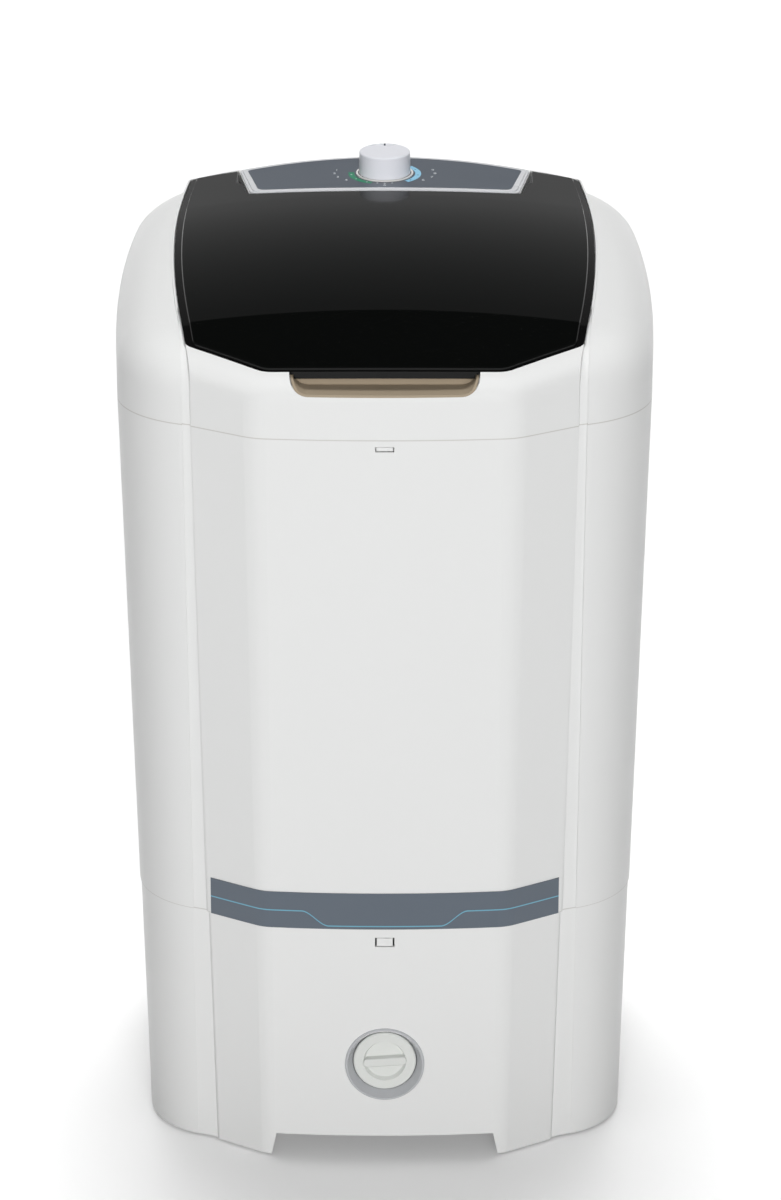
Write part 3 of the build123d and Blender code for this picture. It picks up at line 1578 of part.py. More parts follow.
def motor_cap():
    """The upper end cap; the lower one is its mirror image."""
    cap = upright(motor_radius, core_high, motor_top)
    cap -= upright(motor_coil_radius + 3, core_high - 1, motor_top - 3)
    cap += upright(motor_shaft_radius + 6, core_high + 4, motor_top)
    cap -= upright(motor_shaft_radius + running_gap, core_high - 1, motor_top + 1)
    vents = upright(5, motor_top - 5, motor_top + 1, spots=spread(motor_coil_radius - 12, 8, 0))
    return cap - vents


with BuildPart() as motor_caps:
    top_cap = motor_cap()
    add(top_cap)
    add(top_cap.mirror(Plane.XY.offset((core_low + core_high) / 2)))
    ears = upright(motor_mount_radius + 3, motor_top - motor_ear_thickness, motor_top,
                   spots=ear_spots)
    with BuildSketch(Plane.XY.offset(motor_top - motor_ear_thickness)) as arms:
        with Locations((0, 0, 0)):
            Rectangle(motor_ear_circle, 2 * motor_mount_radius, rotation=45)
            Rectangle(motor_ear_circle, 2 * motor_mount_radius, rotation=-45)
        Circle(motor_radius - 8, mode=Mode.SUBTRACT)
    extrude(amount=motor_ear_thickness)
    add(ears)
    add(upright(bolt_radius + 0.3, motor_top - 20, motor_top + 1, spots=ear_spots),
        mode=Mode.SUBTRACT)
motor_caps.part = at_motor(motor_caps.part)
motor_caps.part.label = "motor_caps"
export_step(motor_caps.part, "parts/motor_caps.step")

with BuildPart() as rotor_shaft:
    add(upright(motor_shaft_radius, motor_bottom + 1, pulley_middle_height + pulley_width / 2 + 3))
    add(upright(rotor_radius, core_low + 1, core_high - 1))
    add(upright(rotor_radius - 5, core_low - 3, core_high + 3))
rotor_shaft.part = at_motor(rotor_shaft.part)
rotor_shaft.part.label = "rotor_shaft"
export_step(rotor_shaft.part, "parts/rotor_shaft.step")

frame_spots = [(x, y + motor_y) for x, y in ear_spots]
with BuildPart() as motor_mounts:
    add(upright(motor_mount_radius, motor_top, frame_height, spots=frame_spots))
    add(upright(bolt_radius + fit_gap / 4, motor_top - 1, frame_height + 1, spots=frame_spots),
        mode=Mode.SUBTRACT)
motor_mounts.part.label = "motor_mounts"
export_step(motor_mounts.part, "parts/motor_mounts.step")

with BuildPart() as motor_bolts:
    add(bolts_up(frame_spots, motor_top - motor_ear_thickness,
                 motor_ear_thickness + frame_top_z - motor_top + 4))
motor_bolts.part.label = "motor_bolts"
export_step(motor_bolts.part, "parts/motor_bolts.step")


def frame_rib(x_range, y_range):
    return block(x_range, y_range, (frame_height - frame_rib_height, frame_height))


# Drive frame: a plate on the posts with ribs, which carries the tub and the motor
with BuildPart() as drive_frame:
    with BuildSketch(Plane.XY.offset(frame_height)):
        with Locations((0, (frame_front_y + frame_rear_y) / 2)):
            RectangleRounded(2 * frame_half_width, frame_rear_y - frame_front_y, 12)
    extrude(amount=frame_thickness)
    for x in (-frame_rib_x, frame_rib_x):
        add(frame_rib((x - 1.5, x + 1.5), (frame_front_y + 3, frame_rear_y - 3)))
    for y in (frame_front_y + 3, -40, frame_rear_y - 3):
        add(frame_rib((-frame_rib_x, frame_rib_x), (y - 1.5, y + 1.5)))
    add(body_block(frame_height - frame_rib_height - 1, base_seam,
                   base_step + wall + frame_clearance), mode=Mode.INTERSECT)
    add(upright(motor_hole_radius, frame_height - 20, frame_top_z + 1, y=motor_y),
        mode=Mode.SUBTRACT)
    add(upright(hose_hole_radius, frame_height - 20, frame_top_z + 1, y=drain_port_y),
        mode=Mode.SUBTRACT)
    add(upright(bolt_radius + fit_gap / 2, frame_height - 1, frame_top_z + 1,
                spots=[*frame_spots, *frame_bolt_spots]), mode=Mode.SUBTRACT)
    add(upright(tub_leg_radius - tub_wall - seat_gap, frame_top_z - 1, frame_top_z + 8,
                spots=leg_spots))
drive_frame.part.label = "drive_frame"
export_step(drive_frame.part, "parts/drive_frame.step")

with BuildPart() as frame_bolts:
    add(screws(frame_bolt_spots, bolt_radius, frame_thickness + post_bolt_depth - 3,
               bolt_head_radius, bolt_head_height, Plane.XY.offset(frame_top_z)))
frame_bolts.part.label = "frame_bolts"
export_step(frame_bolts.part, "parts/frame_bolts.step")

# Trim band over the lower seam, wrapped on the front of the cabinet
with BuildPart() as front_band:
    top = base_seam + band_height
    add(body_block(base_seam, top, -band_thickness))
    add(body_block(base_seam - 1, top + 1, -band_glue), mode=Mode.SUBTRACT)
    add(block((-band_half_width, band_half_width), (-body_depth, 0), (0, ceiling)),
        mode=Mode.INTERSECT)
front_band.part.label = "front_band"
export_step(front_band.part, "parts/front_band.step")


face_y = -half_depth + base_step + set_in(filter_z)
ring_front = face_y - filter_ring_rim
cap_front = ring_front + filter_ring_dish - 2
cap_back = cap_front + filter_cap_thickness
mouth_end = cap_back + 6

# Grey dished ring, seated on the drafted face of the base
with BuildPart() as filter_ring:
    sleeve = filter_hole_radius - fit_gap
    add(front_turned([
        (filter_ring_radius, face_y + 3), (filter_ring_radius, ring_front + 1),
        (filter_ring_radius - 1, ring_front), (filter_ring_radius - 2, ring_front),
        (filter_ring_inner_radius, ring_front + filter_ring_dish),
        (filter_ring_inner_radius, cap_back + 3), (sleeve, cap_back + 3), (sleeve, face_y + 3),
    ]))
    tight = block((-filter_ring_radius - 1, filter_ring_radius + 1), (-body_depth, 0),
                  (filter_z - filter_ring_radius - 1, filter_z + filter_ring_radius + 1))
    face = (body_block(skirt_height, base_seam, base_step) & tight)
    add(face - disc(filter_hole_radius - seat_gap, -body_depth, 0), mode=Mode.SUBTRACT)
filter_ring.part.label = "filter_ring"
export_step(filter_ring.part, "parts/filter_ring.step")

plug_radius = filter_bore - fit_gap
plug_end = cap_back + filter_plug_length
seal_front = cap_back + 8
with BuildPart() as filter_cap:
    add(disc(filter_cap_radius, cap_front, cap_back))
    chamfer(filter_cap.faces().sort_by(Axis.Y)[0].edges(), 1)
    add(front_turned([(0, cap_front - 1), (filter_dish_radius, cap_front - 1),
                      (filter_dish_radius - 3, cap_front + filter_dish_depth),
                      (0, cap_front + filter_dish_depth)]), mode=Mode.SUBTRACT)
    add(disc(filter_dish_radius, cap_front + filter_dish_depth - 1, cap_back + 3))
    add(tube(plug_radius, plug_radius - 2, cap_back - 1, plug_end))
    add(disc(plug_radius, cap_back, cap_back + 3))
    add(tube(filter_bore, plug_radius - 1.2, seal_front, seal_front + seal_width),
        mode=Mode.SUBTRACT)
    with BuildSketch(Plane.XZ.offset(-cap_front - filter_dish_depth)):
        with Locations((0, filter_z)):
            SlotOverall(filter_grip_length, filter_grip_width, rotation=filter_grip_tilt)
    extrude(amount=filter_dish_depth + filter_grip_rise)
    fillet(filter_cap.faces().sort_by(Axis.Y)[0].edges(), 1.5)
    add(tube(basket_radius - basket_wall - 0.1, basket_radius - basket_wall - 2, cap_back, plug_end + 4))
filter_cap.part.label = "filter_cap"
export_step(filter_cap.part, "parts/filter_cap.step")

with BuildPart() as filter_seal:
    add(tube(filter_bore - 0.3, plug_radius - 1.2, seal_front, seal_front + seal_width))
filter_seal.part.label = "filter_seal"
export_step(filter_seal.part, "parts/filter_seal.step")

basket_end = plug_end + basket_length
with BuildPart() as filter_basket:
    add(tube(basket_radius, basket_radius - basket_wall, plug_end + seat_gap, basket_end))
    add(disc(basket_radius, basket_end - basket_wall, basket_end))
    slots = None
    for number in range(basket_slot_count):
        slot = block((-1.5, 1.5), (plug_end + 8, basket_end - 6), (0, basket_radius + 5))
        slot = Pos(0, 0, filter_z) * slot.rotate(Axis.Y, 360 * number / basket_slot_count)
        slots = slot if slots is None else slots + slot
    add(slots, mode=Mode.SUBTRACT)
filter_basket.part.label = "filter_basket"
export_step(filter_basket.part, "parts/filter_basket.step")

# Housing of the filter and the pump, with its drain port and outlet port
body_radius = filter_bore + filter_housing_wall
chamber_front = basket_end + 8
chamber_back = chamber_front + pump_chamber_depth
flange_back = mouth_end - 2
pump_y = chamber_front + pump_chamber_depth / 2


def side_rod(radius, x_low, x_high, y):
    with BuildPart() as solid:
        with BuildSketch(Plane.YZ.offset(x_low)):
            with Locations((y, filter_z)):
                Circle(radius)
        extrude(amount=x_high - x_low)
    return solid.part


with BuildPart() as filter_housing:
    add(disc(body_radius, mouth_end, chamber_front + 2))
    add(disc(filter_ring_radius, face_y, flange_back + 2))
    add(disc(pump_chamber_radius, chamber_front - filter_housing_wall, chamber_back))
    add(upright(port_radius, filter_z, port_top, y=drain_port_y))
    add(side_rod(port_radius, outlet_port_end, -pump_chamber_radius + filter_housing_wall / 2,
                 pump_y))
    add(body_block(skirt_height, base_seam, base_step + wall), mode=Mode.INTERSECT)
    add(disc(filter_hole_radius, face_y, flange_back - 1), mode=Mode.SUBTRACT)
    add(disc(filter_bore, face_y, basket_end + 4), mode=Mode.SUBTRACT)
    add(disc(filter_bore - 8, basket_end, chamber_front + 1), mode=Mode.SUBTRACT)
    add(disc(pump_chamber_radius - filter_housing_wall, chamber_front, chamber_back + 1),
        mode=Mode.SUBTRACT)
    add(upright(port_radius - filter_housing_wall, filter_z, port_top + 1, y=drain_port_y),
        mode=Mode.SUBTRACT)
    add(side_rod(port_radius - filter_housing_wall, outlet_port_end - 1,
                 -impeller_radius - 1, pump_y), mode=Mode.SUBTRACT)
filter_housing.part.label = "filter_housing"
export_step(filter_housing.part, "parts/filter_housing.step")

with BuildPart() as pump_motor:
    add(disc(pump_chamber_radius, chamber_back, chamber_back + 4))
    add(disc(pump_motor_radius, chamber_back + 3, chamber_back + pump_motor_length))
    chamfer(pump_motor.faces().sort_by(Axis.Y)[-1].edges(), 2)
    add(disc(timer_shaft_radius + running_gap, chamber_back - 1, chamber_back + 20),
        mode=Mode.SUBTRACT)
pump_motor.part.label = "pump_motor"
export_step(pump_motor.part, "parts/pump_motor.step")

with BuildPart() as pump_impeller:
    add(disc(timer_shaft_radius, chamber_front + 4, chamber_back + 19.5))
    add(disc(7, chamber_front + 3, chamber_back - 1))
    add(disc(impeller_radius, chamber_back - 3, chamber_back - 1))
    for number in range(impeller_vane_count):
        vane = block((-1.2, 1.2), (chamber_front + 3, chamber_back - 2), (5, impeller_radius - 0.5))
        add(Pos(0, 0, filter_z) * vane.rotate(Axis.Y, 360 * number / impeller_vane_count))
pump_impeller.part.label = "pump_impeller"
export_step(pump_impeller.part, "parts/pump_impeller.step")

# Bellows hose from the tub down to the housing
inlet_low, inlet_high = port_top - hose_overlap, spigot_low + hose_overlap
with BuildPart() as drain_inlet_hose:
    with BuildSketch(Plane.XZ):
        with BuildLine():
            inner, outer = port_radius, hose_radius
            step = (inlet_high - inlet_low - 2 * hose_cuff) / (2 * bellows_count)
            line = Line((outer, inlet_low), (outer, inlet_low + hose_cuff))
            for number in range(bellows_count):
                start = line @ 1
                crest = Vector(outer + bellows_height, start.Y + step)
                line = Line(start, crest)
                line = Line(crest, (outer, start.Y + 2 * step))
            Polyline(line @ 1, (outer, inlet_high), (inner, inlet_high), (inner, inlet_low),
                     (outer, inlet_low))
        make_face()
    revolve(axis=Axis.Z)
drain_inlet_hose.part = Pos(0, drain_port_y, 0) * drain_inlet_hose.part
drain_inlet_hose.part.label = "drain_inlet_hose"
export_step(drain_inlet_hose.part, "parts/drain_inlet_hose.step")

# Outlet hose to the spigot at the back
outlet_rear = outlet_wall_y - 4
outlet_start = outlet_port_end + hose_overlap
with BuildPart() as drain_outlet_hose:
    with BuildLine():
        FilletPolyline((outlet_start, pump_y, filter_z), (outlet_x, pump_y, filter_z),
                       (outlet_x, outlet_rear, filter_z), radius=outlet_bend_radius)
    with BuildSketch(Plane(origin=(outlet_start, pump_y, filter_z), z_dir=(-1, 0, 0))):
        Circle(hose_radius)
        Circle(port_radius, mode=Mode.SUBTRACT)
    sweep()
drain_outlet_hose.part.label = "drain_outlet_hose"
export_step(drain_outlet_hose.part, "parts/drain_outlet_hose.step")


def clamp(plane):
    """Band clamp round a hose end, with its screw block."""
    with BuildPart() as solid:
        with BuildSketch(plane):
            Circle(hose_radius + clamp_thickness)
            with Locations((0, hose_radius + 3)):
                Rectangle(7, 8)
            Circle(hose_radius, mode=Mode.SUBTRACT)
        extrude(amount=clamp_width)
    return solid.part


with BuildPart() as hose_clamps:
    add(clamp(Plane(origin=(0, drain_port_y, inlet_low + 2), z_dir=(0, 0, 1))))
    add(clamp(Plane(origin=(0, drain_port_y, inlet_high - 2 - clamp_width), z_dir=(0, 0, 1))))
    add(clamp(Plane(origin=(outlet_start - 2, pump_y, filter_z), x_dir=(0, 1, 0), z_dir=(-1, 0, 0))))
    add(clamp(Plane(origin=(outlet_x, outlet_rear - 2, filter_z), x_dir=(1, 0, 0),
                    z_dir=(0, -1, 0))))
hose_clamps.part.label = "hose_clamps"
export_step(hose_clamps.part, "parts/hose_clamps.step")


# Outlet spigot on the back of the base
flange_face = rear_y(outlet_x + spigot_flange_radius, filter_z) + 3
with BuildPart() as outlet_spigot:
    add(disc(spigot_flange_radius, flange_face - 12, flange_face, outlet_x))
    near = block((outlet_x - 30, outlet_x + 30), (100, body_depth), (filter_z - 30, filter_z + 30))
    add(body_block(skirt_height, base_seam, base_step) & near, mode=Mode.SUBTRACT)
    add(disc(port_radius, outlet_rear - hose_overlap, flange_face, outlet_x))
    add(disc(outlet_pin_radius, flange_face - 1, flange_face + outlet_pin_length, outlet_x))
    add(disc(outlet_pin_radius - filter_housing_wall, 0, body_depth, outlet_x), mode=Mode.SUBTRACT)
outlet_spigot.part.label = "outlet_spigot"
export_step(outlet_spigot.part, "parts/outlet_spigot.step")

# Louvred cover over the opening at the back
with BuildPart() as rear_access_cover:
    add(body_block(cover_low, cover_high, base_step - rear_cover_thickness))
    add(body_block(cover_low - 1, cover_high + 1, base_step), mode=Mode.SUBTRACT)
    add(block((-cover_half, cover_half), (0, body_depth), (0, ceiling)), mode=Mode.INTERSECT)
    pitch = (rear_opening_high - rear_opening_low - 20) / (louvre_count - 1)
    for number in range(louvre_count):
        z = rear_opening_low + 10 + number * pitch
        add(block((-louvre_width / 2, louvre_width / 2), (half_depth / 2, body_depth),
                  (z, z + louvre_height)), mode=Mode.SUBTRACT)
    for x, z in cover_screw_spots:
        add(rear_rod(x, z, screw_radius + seat_gap, -10, 10), mode=Mode.SUBTRACT)
rear_access_cover.part.label = "rear_access_cover"
export_step(rear_access_cover.part, "parts/rear_access_cover.step")

with BuildPart() as access_cover_screws:
    for x, z in cover_screw_spots:
        add(screws([(0, 0)], screw_radius, rear_cover_thickness + wall + 3, screw_head_radius,
                   screw_head_height, rear_plane(x, z, rear_cover_thickness)))
access_cover_screws.part.label = "access_cover_screws"
export_step(access_cover_screws.part, "parts/access_cover_screws.step")

# Bush that lines the hole for the supply cord
with BuildPart() as cable_gland:
    add(rear_rod(gland_x, gland_z, gland_radius + 3, seat_gap, 2.5))
    add(rear_rod(gland_x, gland_z, gland_radius, -wall - 3, 5))
    add(rear_rod(gland_x, gland_z, gland_radius + 1.5, -wall - 2.5, -wall - 2 * seat_gap))
    add(rear_rod(gland_x, gland_z, gland_radius - 3.5, -20, 20), mode=Mode.SUBTRACT)
cable_gland.part.label = "cable_gland"
export_step(cable_gland.part, "parts/cable_gland.step")

# Run capacitor in its clip under the drive frame
with BuildPart() as run_capacitor:
    top = frame_height - 16
    add(upright(capacitor_radius, top - capacitor_length, top, capacitor_x, capacitor_y))
    chamfer(run_capacitor.edges().filter_by(GeomType.CIRCLE), 1)
    add(block((capacitor_x - 5, capacitor_x - 4.2), (capacitor_y - 3, capacitor_y + 3),
              (top - 1, top + 8)))
    add(block((capacitor_x + 4.2, capacitor_x + 5), (capacitor_y - 3, capacitor_y + 3),
              (top - 1, top + 8)))
run_capacitor.part.label = "run_capacitor"
export_step(run_capacitor.part, "parts/run_capacitor.step")

with BuildPart() as capacitor_clip:
    outer = capacitor_radius + clamp_thickness
    add(upright(outer, top - 40, top - 26, capacitor_x, capacitor_y))
    add(block((capacitor_x - 8, capacitor_x + 8),
              (capacitor_y + capacitor_radius, capacitor_y + outer), (top - 40, frame_height)))
    add(upright(capacitor_radius, top - 50, frame_height + 1, capacitor_x, capacitor_y),
        mode=Mode.SUBTRACT)
    add(block((capacitor_x - 8, capacitor_x + 8),
              (capacitor_y + capacitor_radius, capacitor_y + outer + 12),
              (frame_height - 2, frame_height)))
capacitor_clip.part.label = "capacitor_clip"
export_step(capacitor_clip.part, "parts/capacitor_clip.step")
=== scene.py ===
import json
from math import atan2, cos, degrees, pi, radians, sin

import bpy
from bpy.props import FloatProperty, FloatVectorProperty, PointerProperty
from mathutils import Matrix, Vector


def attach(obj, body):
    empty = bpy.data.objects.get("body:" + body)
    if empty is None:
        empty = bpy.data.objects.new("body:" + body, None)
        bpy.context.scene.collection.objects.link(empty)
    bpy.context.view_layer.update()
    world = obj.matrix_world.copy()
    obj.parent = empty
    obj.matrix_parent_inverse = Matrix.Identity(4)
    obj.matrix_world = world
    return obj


bl_info = {
    "name": "Washing machine looks",
    "version": (1, 0, 0),
    "blender": (4, 5, 0),
    "location": "View3D > Sidebar > Washer",
    "description": "Finishes, printed marks and studio for a single-tub washing machine",
    "category": "Object",
}

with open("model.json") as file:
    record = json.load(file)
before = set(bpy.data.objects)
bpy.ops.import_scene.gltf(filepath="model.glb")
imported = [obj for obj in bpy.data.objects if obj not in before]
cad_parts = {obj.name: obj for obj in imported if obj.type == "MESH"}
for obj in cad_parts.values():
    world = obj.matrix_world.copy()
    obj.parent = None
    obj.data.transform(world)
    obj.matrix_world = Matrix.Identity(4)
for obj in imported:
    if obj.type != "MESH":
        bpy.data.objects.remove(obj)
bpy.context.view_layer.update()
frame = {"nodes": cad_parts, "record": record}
body_of_node = {
    node: body
    for body, nodes in frame["record"]["behaviour"]["bodies"].items()
    for node in nodes
}

MM = 0.001

# Places on the machine
DIAL_Y = 163 * MM
SEAM_LOW = 229 * MM
SEAM_HIGH = 683 * MM

# Texture of the finishes, and the angle in degrees up to which edges are smoothed
GRAIN_DEPTH = 0.4 * MM
BRUSH_DEPTH = 0.3 * MM
BRUSH_STRETCH = (1, 1, 0.06)
MOTTLE_LOW = 0.15
MOTTLE_HIGH = 0.85
SMOOTH_ANGLE = 30

# Shades and lines on the white and on the band
SEAM_CORE = 0.3
# Height up to which the white blends into the warm white towards the floor, and the share of the warm
# white at the bottom
TINT_HEIGHT = 0.45
TINT_SHARE = 0.2
DIP_START = 49 * MM
DIP_END = 73 * MM
LINE_CORE = 0.35
LINE_REACH = 0.65

# Print round the dial: angles in degrees from +X, places of figures in mm from the knob's axis
LEFT_ARC = (172, 247)
RIGHT_ARC = (309, 402)
LEFT_DOTS = (186, 212, 238)
RIGHT_DOTS = (320, 352, 24)
FRONT_DOTS = (257, 270, 283)
FIGURE_PLACES = {
    "1": (-44, 12), "2": (-46, 2), "3": (-43, -9), "4": (-35, -19), "5": (0, -36),
    "6": (35, -19), "7": (43, -9), "8": (46, 2), "9": (44, 12),
}
ARC_CORNERS = 144
DOT_CORNERS = 20
DOT_RADIUS = 0.8 * MM
FRONT_DOT_RADIUS = 0.9 * MM
FRONT_DOT_STEP = 0.5 * MM
ARC_THICKNESS = 0.10 * MM
DOT_THICKNESS = 0.14 * MM
FIGURE_THICKNESS = 0.05 * MM
FIGURE_LIFT = 0.06 * MM

# Stage: the floor, the camera, and each sun with its direction and its spread in degrees
FLOOR_RADIUS = 14
FLOOR_MIDDLE = (0, 4, 0)
FLOOR_TONE = 0.32
FLOOR_SEEN_TONE = 0.95
FLOOR_GLOW = 0.15
BACKDROP_FALL = 2.0
BACKDROP_TOP = 0.01
CAMERA_PLACE = (0, -3.572, 1.7886)
CAMERA_SHIFT = 0.0048
SUNS = {
    "front_light": ((-0.06, 1.0, -0.20), 36),
    "top_light": ((0.0, -0.30, -1.0), 25),
    "rear_light": ((0.0, -1.0, -0.25), 40),
}


def colour_prop(name, description, default):
    return FloatVectorProperty(
        name=name, description=description, subtype="COLOR", size=3, min=0, max=1, default=default
    )


def length_prop(name, description, default):
    return FloatProperty(
        name=name, description=description, subtype="DISTANCE", unit="LENGTH", min=0, default=default
    )


def strength_prop(name, description, default):
    return FloatProperty(name=name, description=description, min=0, default=default)


# Sizes and colours a user would change
class HousingSettings(bpy.types.PropertyGroup):
    white: colour_prop("White", "Colour of the moulded housing", (0.805, 0.81, 0.805))
    warm: colour_prop("Warm white", "Tint low on the housing", (0.79, 0.784, 0.768))
    seam: colour_prop("Seam", "Shade in the seams of the housing", (0.60, 0.59, 0.57))
    seam_width: length_prop("Seam width", "Half the width of the shade in a seam", 0.7 * MM)
    taupe: colour_prop("Recess", "Colour of the tray in the finger recess", (0.38, 0.31, 0.225))


class LidSettings(bpy.types.PropertyGroup):
    black: colour_prop("Black", "Colour of the lid panel", (0.0022, 0.0026, 0.0024))
    gloss: strength_prop("Gloss", "Specular level of the lid", 0.22)
    frame_black: colour_prop("Frame black", "Colour of the lid frame", (0.004, 0.004, 0.004))


class ConsoleSettings(bpy.types.PropertyGroup):
    bezel: colour_prop("Bezel", "Colour of the bezel", (0.66, 0.67, 0.69))
    fascia: colour_prop("Fascia", "Colour of the fascia", (0.065, 0.082, 0.108))
    knob: colour_prop("Knob", "Colour of the knob", (0.78, 0.79, 0.84))
    green: colour_prop("Green", "Colour of the left arc", (0.004, 0.22, 0.11))
    blue: colour_prop("Light blue", "Colour of the right arc", (0.25, 0.56, 0.76))
    arc_outer: length_prop("Arc outer radius", "Outer radius of the printed arcs", 33.3 * MM)
    arc_inner: length_prop("Arc inner radius", "Inner radius of the printed arcs", 27.9 * MM)
    mark: colour_prop("Mark", "Colour of the index mark", (0.12, 0.13, 0.16))
    mark_width: length_prop("Mark width", "Width of the index mark", 1.6 * MM)
    mark_start: length_prop("Mark start", "Distance of the mark from the knob's axis", 15 * MM)
    figure_height: length_prop("Figure height", "Height of the printed figures", 6.0 * MM)


class BandSettings(bpy.types.PropertyGroup):
    slate: colour_prop("Slate", "Colour of the trim band", (0.105, 0.128, 0.158))
    line: colour_prop("Line", "Colour of the thin line", (0.16, 0.42, 0.55))
    line_width: length_prop("Line width", "Width of the thin line", 1.0 * MM)
    line_high: length_prop("Line height", "Height of the line at the ends", 16.9 * MM)
    line_low: length_prop("Dip height", "Height of the line at the middle", 2.9 * MM)


class FilterSettings(bpy.types.PropertyGroup):
    ring: colour_prop("Ring", "Colour of the filter ring", (0.50, 0.51, 0.53))
    cap: colour_prop("Cap", "Colour of the filter cap", (0.72, 0.735, 0.71))


class StageSettings(bpy.types.PropertyGroup):
    lens: FloatProperty(name="Lens", description="Focal length in mm", min=20, default=126)
    pitch: FloatProperty(
        name="Pitch", description="How far the camera looks down", subtype="ANGLE", default=radians(20.5)
    )
    front_light: strength_prop("Front light", "Strength of the front light", 2.4)
    top_light: strength_prop("Top light", "Strength of the top light", 1.8)
    rear_light: strength_prop("Rear light", "Strength of the light from behind", 1.1)
    side_share: strength_prop("Side share", "Share of the room's light at the sides", 0.0)
    room_light: strength_prop("Room light", "Strength of the room's light", 0.31)


# Mesh tools
def object_mode():
    bpy.ops.object.mode_set(mode="OBJECT")


def edit_mode():
    bpy.ops.object.mode_set(mode="EDIT")


def select_only(piece):
    if bpy.context.mode != "OBJECT":
        object_mode()
    bpy.ops.object.select_all(action="DESELECT")
    piece.select_set(True)
    bpy.context.view_layer.objects.active = piece


def select_faces(piece, chosen):
    """Select the faces for which the test holds, and open edit mode on them."""
    select_only(piece)
    edit_mode()
    bpy.ops.mesh.select_mode(type="FACE")
    bpy.ops.mesh.select_all(action="DESELECT")
    object_mode()
    for face in piece.data.polygons:
        face.select = chosen(face)
    edit_mode()


def named(name):
    piece = bpy.context.active_object
    piece.name = name
    piece.data.name = name
    return piece


def give_thickness(piece, thickness):
    """Thicken a flat piece upwards."""
    select_only(piece)
    modifier = piece.modifiers.new("Thickness", "SOLIDIFY")
    modifier.thickness = thickness
    modifier.offset = 1
    bpy.ops.object.modifier_apply(modifier=modifier.name)


def painted(piece, material):
    piece.data.materials.clear()
    piece.data.materials.append(material)


def settle(piece, node, material):
    """Finish a piece: smooth it, paint it and let it ride with the node that carries it."""
    select_only(piece)
    bpy.ops.object.shade_smooth_by_angle(angle=radians(SMOOTH_ANGLE))
    painted(piece, material)
    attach(piece, body_of_node[node])


def finish(node, material):
    """Give a node of the frame its finish."""
    painted(frame["nodes"][node], material)


# Shader groups shared by the materials
def new_group(name, inputs, outputs):
    """An empty node group with named sockets, given as (name, kind, default)."""
    group = bpy.data.node_groups.new(name, "ShaderNodeTree")
    for label, kind, default in inputs:
        socket = group.interface.new_socket(name=label, in_out="INPUT", socket_type=kind)
        socket.default_value = default
    for label, kind in outputs:
        group.interface.new_socket(name=label, in_out="OUTPUT", socket_type=kind)
    return group, group.nodes.new("NodeGroupInput"), group.nodes.new("NodeGroupOutput")


def add_node(tree, kind, **values):
    node = tree.nodes.new(kind)
    for key, value in values.items():
        setattr(node, key, value)
    return node


def feed(tree, socket, source):
    """Link a socket to another one, or set it to a number or a colour."""
    if isinstance(source, bpy.types.NodeSocket):
        tree.links.new(source, socket)
    else:
        socket.default_value = source


def math_node(tree, operation, *sources):
    """A Math node fed with sockets or numbers."""
    node = add_node(tree, "ShaderNodeMath", operation=operation)
    for socket, source in zip(node.inputs, sources):
        feed(tree, socket, source)
    return node.outputs[0]


def ramp(tree, value, first, last, low, high, kind="SMOOTHSTEP"):
    """The value's stretch from first to last, mapped to low to high and held beyond its ends."""
    node = add_node(tree, "ShaderNodeMapRange", interpolation_type=kind)
    labels = ("Value", "From Min", "From Max", "To Min", "To Max")
    for label, source in zip(labels, (value, first, last, low, high)):
        feed(tree, node.inputs[label], source)
    return node.outputs[0]


def mix_colours(tree, share, first, second):
    """The first colour where the share is 0 and the second where it is 1."""
    node = add_node(tree, "ShaderNodeMix", data_type="RGBA")
    for number, source in ((0, share), (6, first), (7, second)):
        feed(tree, node.inputs[number], source)
    return node.outputs[2]


def axes(tree, kind="Object"):
    """X, Y and Z of the shaded point, or of the direction in a world."""
    parts = add_node(tree, "ShaderNodeSeparateXYZ")
    tree.links.new(add_node(tree, "ShaderNodeTexCoord").outputs[kind], parts.inputs[0])
    return parts.outputs


def line_mask(tree, height, level, core, reach):
    """1 nearer to the level than the core, and 0 further off than the reach."""
    away = math_node(tree, "ABSOLUTE", math_node(tree, "SUBTRACT", height, level))
    return ramp(tree, away, core, reach, 1, 0)


def principled(material):
    return material.node_tree.nodes["Principled BSDF"]


def colour_from(material, colour):
    """Take the base colour of a material from a socket."""
    material.node_tree.links.new(colour, principled(material).inputs["Base Color"])


def moulding_grain():
    """Fine moulded texture: a height for Bump, and a soft mottle for the roughness."""
    floats = "NodeSocketFloat"
    group, inner, outer = new_group(
        "Moulding grain",
        [("Grain size", floats, 900.0), ("Flow size", floats, 9.0), ("Flow share", floats, 0.5)],
        [("Height", floats), ("Mottle", floats)],
    )
    place = add_node(group, "ShaderNodeTexCoord").outputs["Object"]
    grain = add_node(group, "ShaderNodeTexNoise")
    flow = add_node(group, "ShaderNodeTexNoise")
    for texture, size in ((grain, "Grain size"), (flow, "Flow size")):
        group.links.new(place, texture.inputs["Vector"])
        group.links.new(inner.outputs[size], texture.inputs["Scale"])
        texture.inputs["Detail"].default_value = 3
    share = inner.outputs["Flow share"]
    slow = math_node(group, "MULTIPLY", flow.outputs["Fac"], share)
    fine = math_node(group, "MULTIPLY", grain.outputs["Fac"], math_node(group, "SUBTRACT", 1.0, share))
    group.links.new(math_node(group, "ADD", slow, fine), outer.inputs["Height"])
    group.links.new(flow.outputs["Fac"], outer.inputs["Mottle"])
    return group


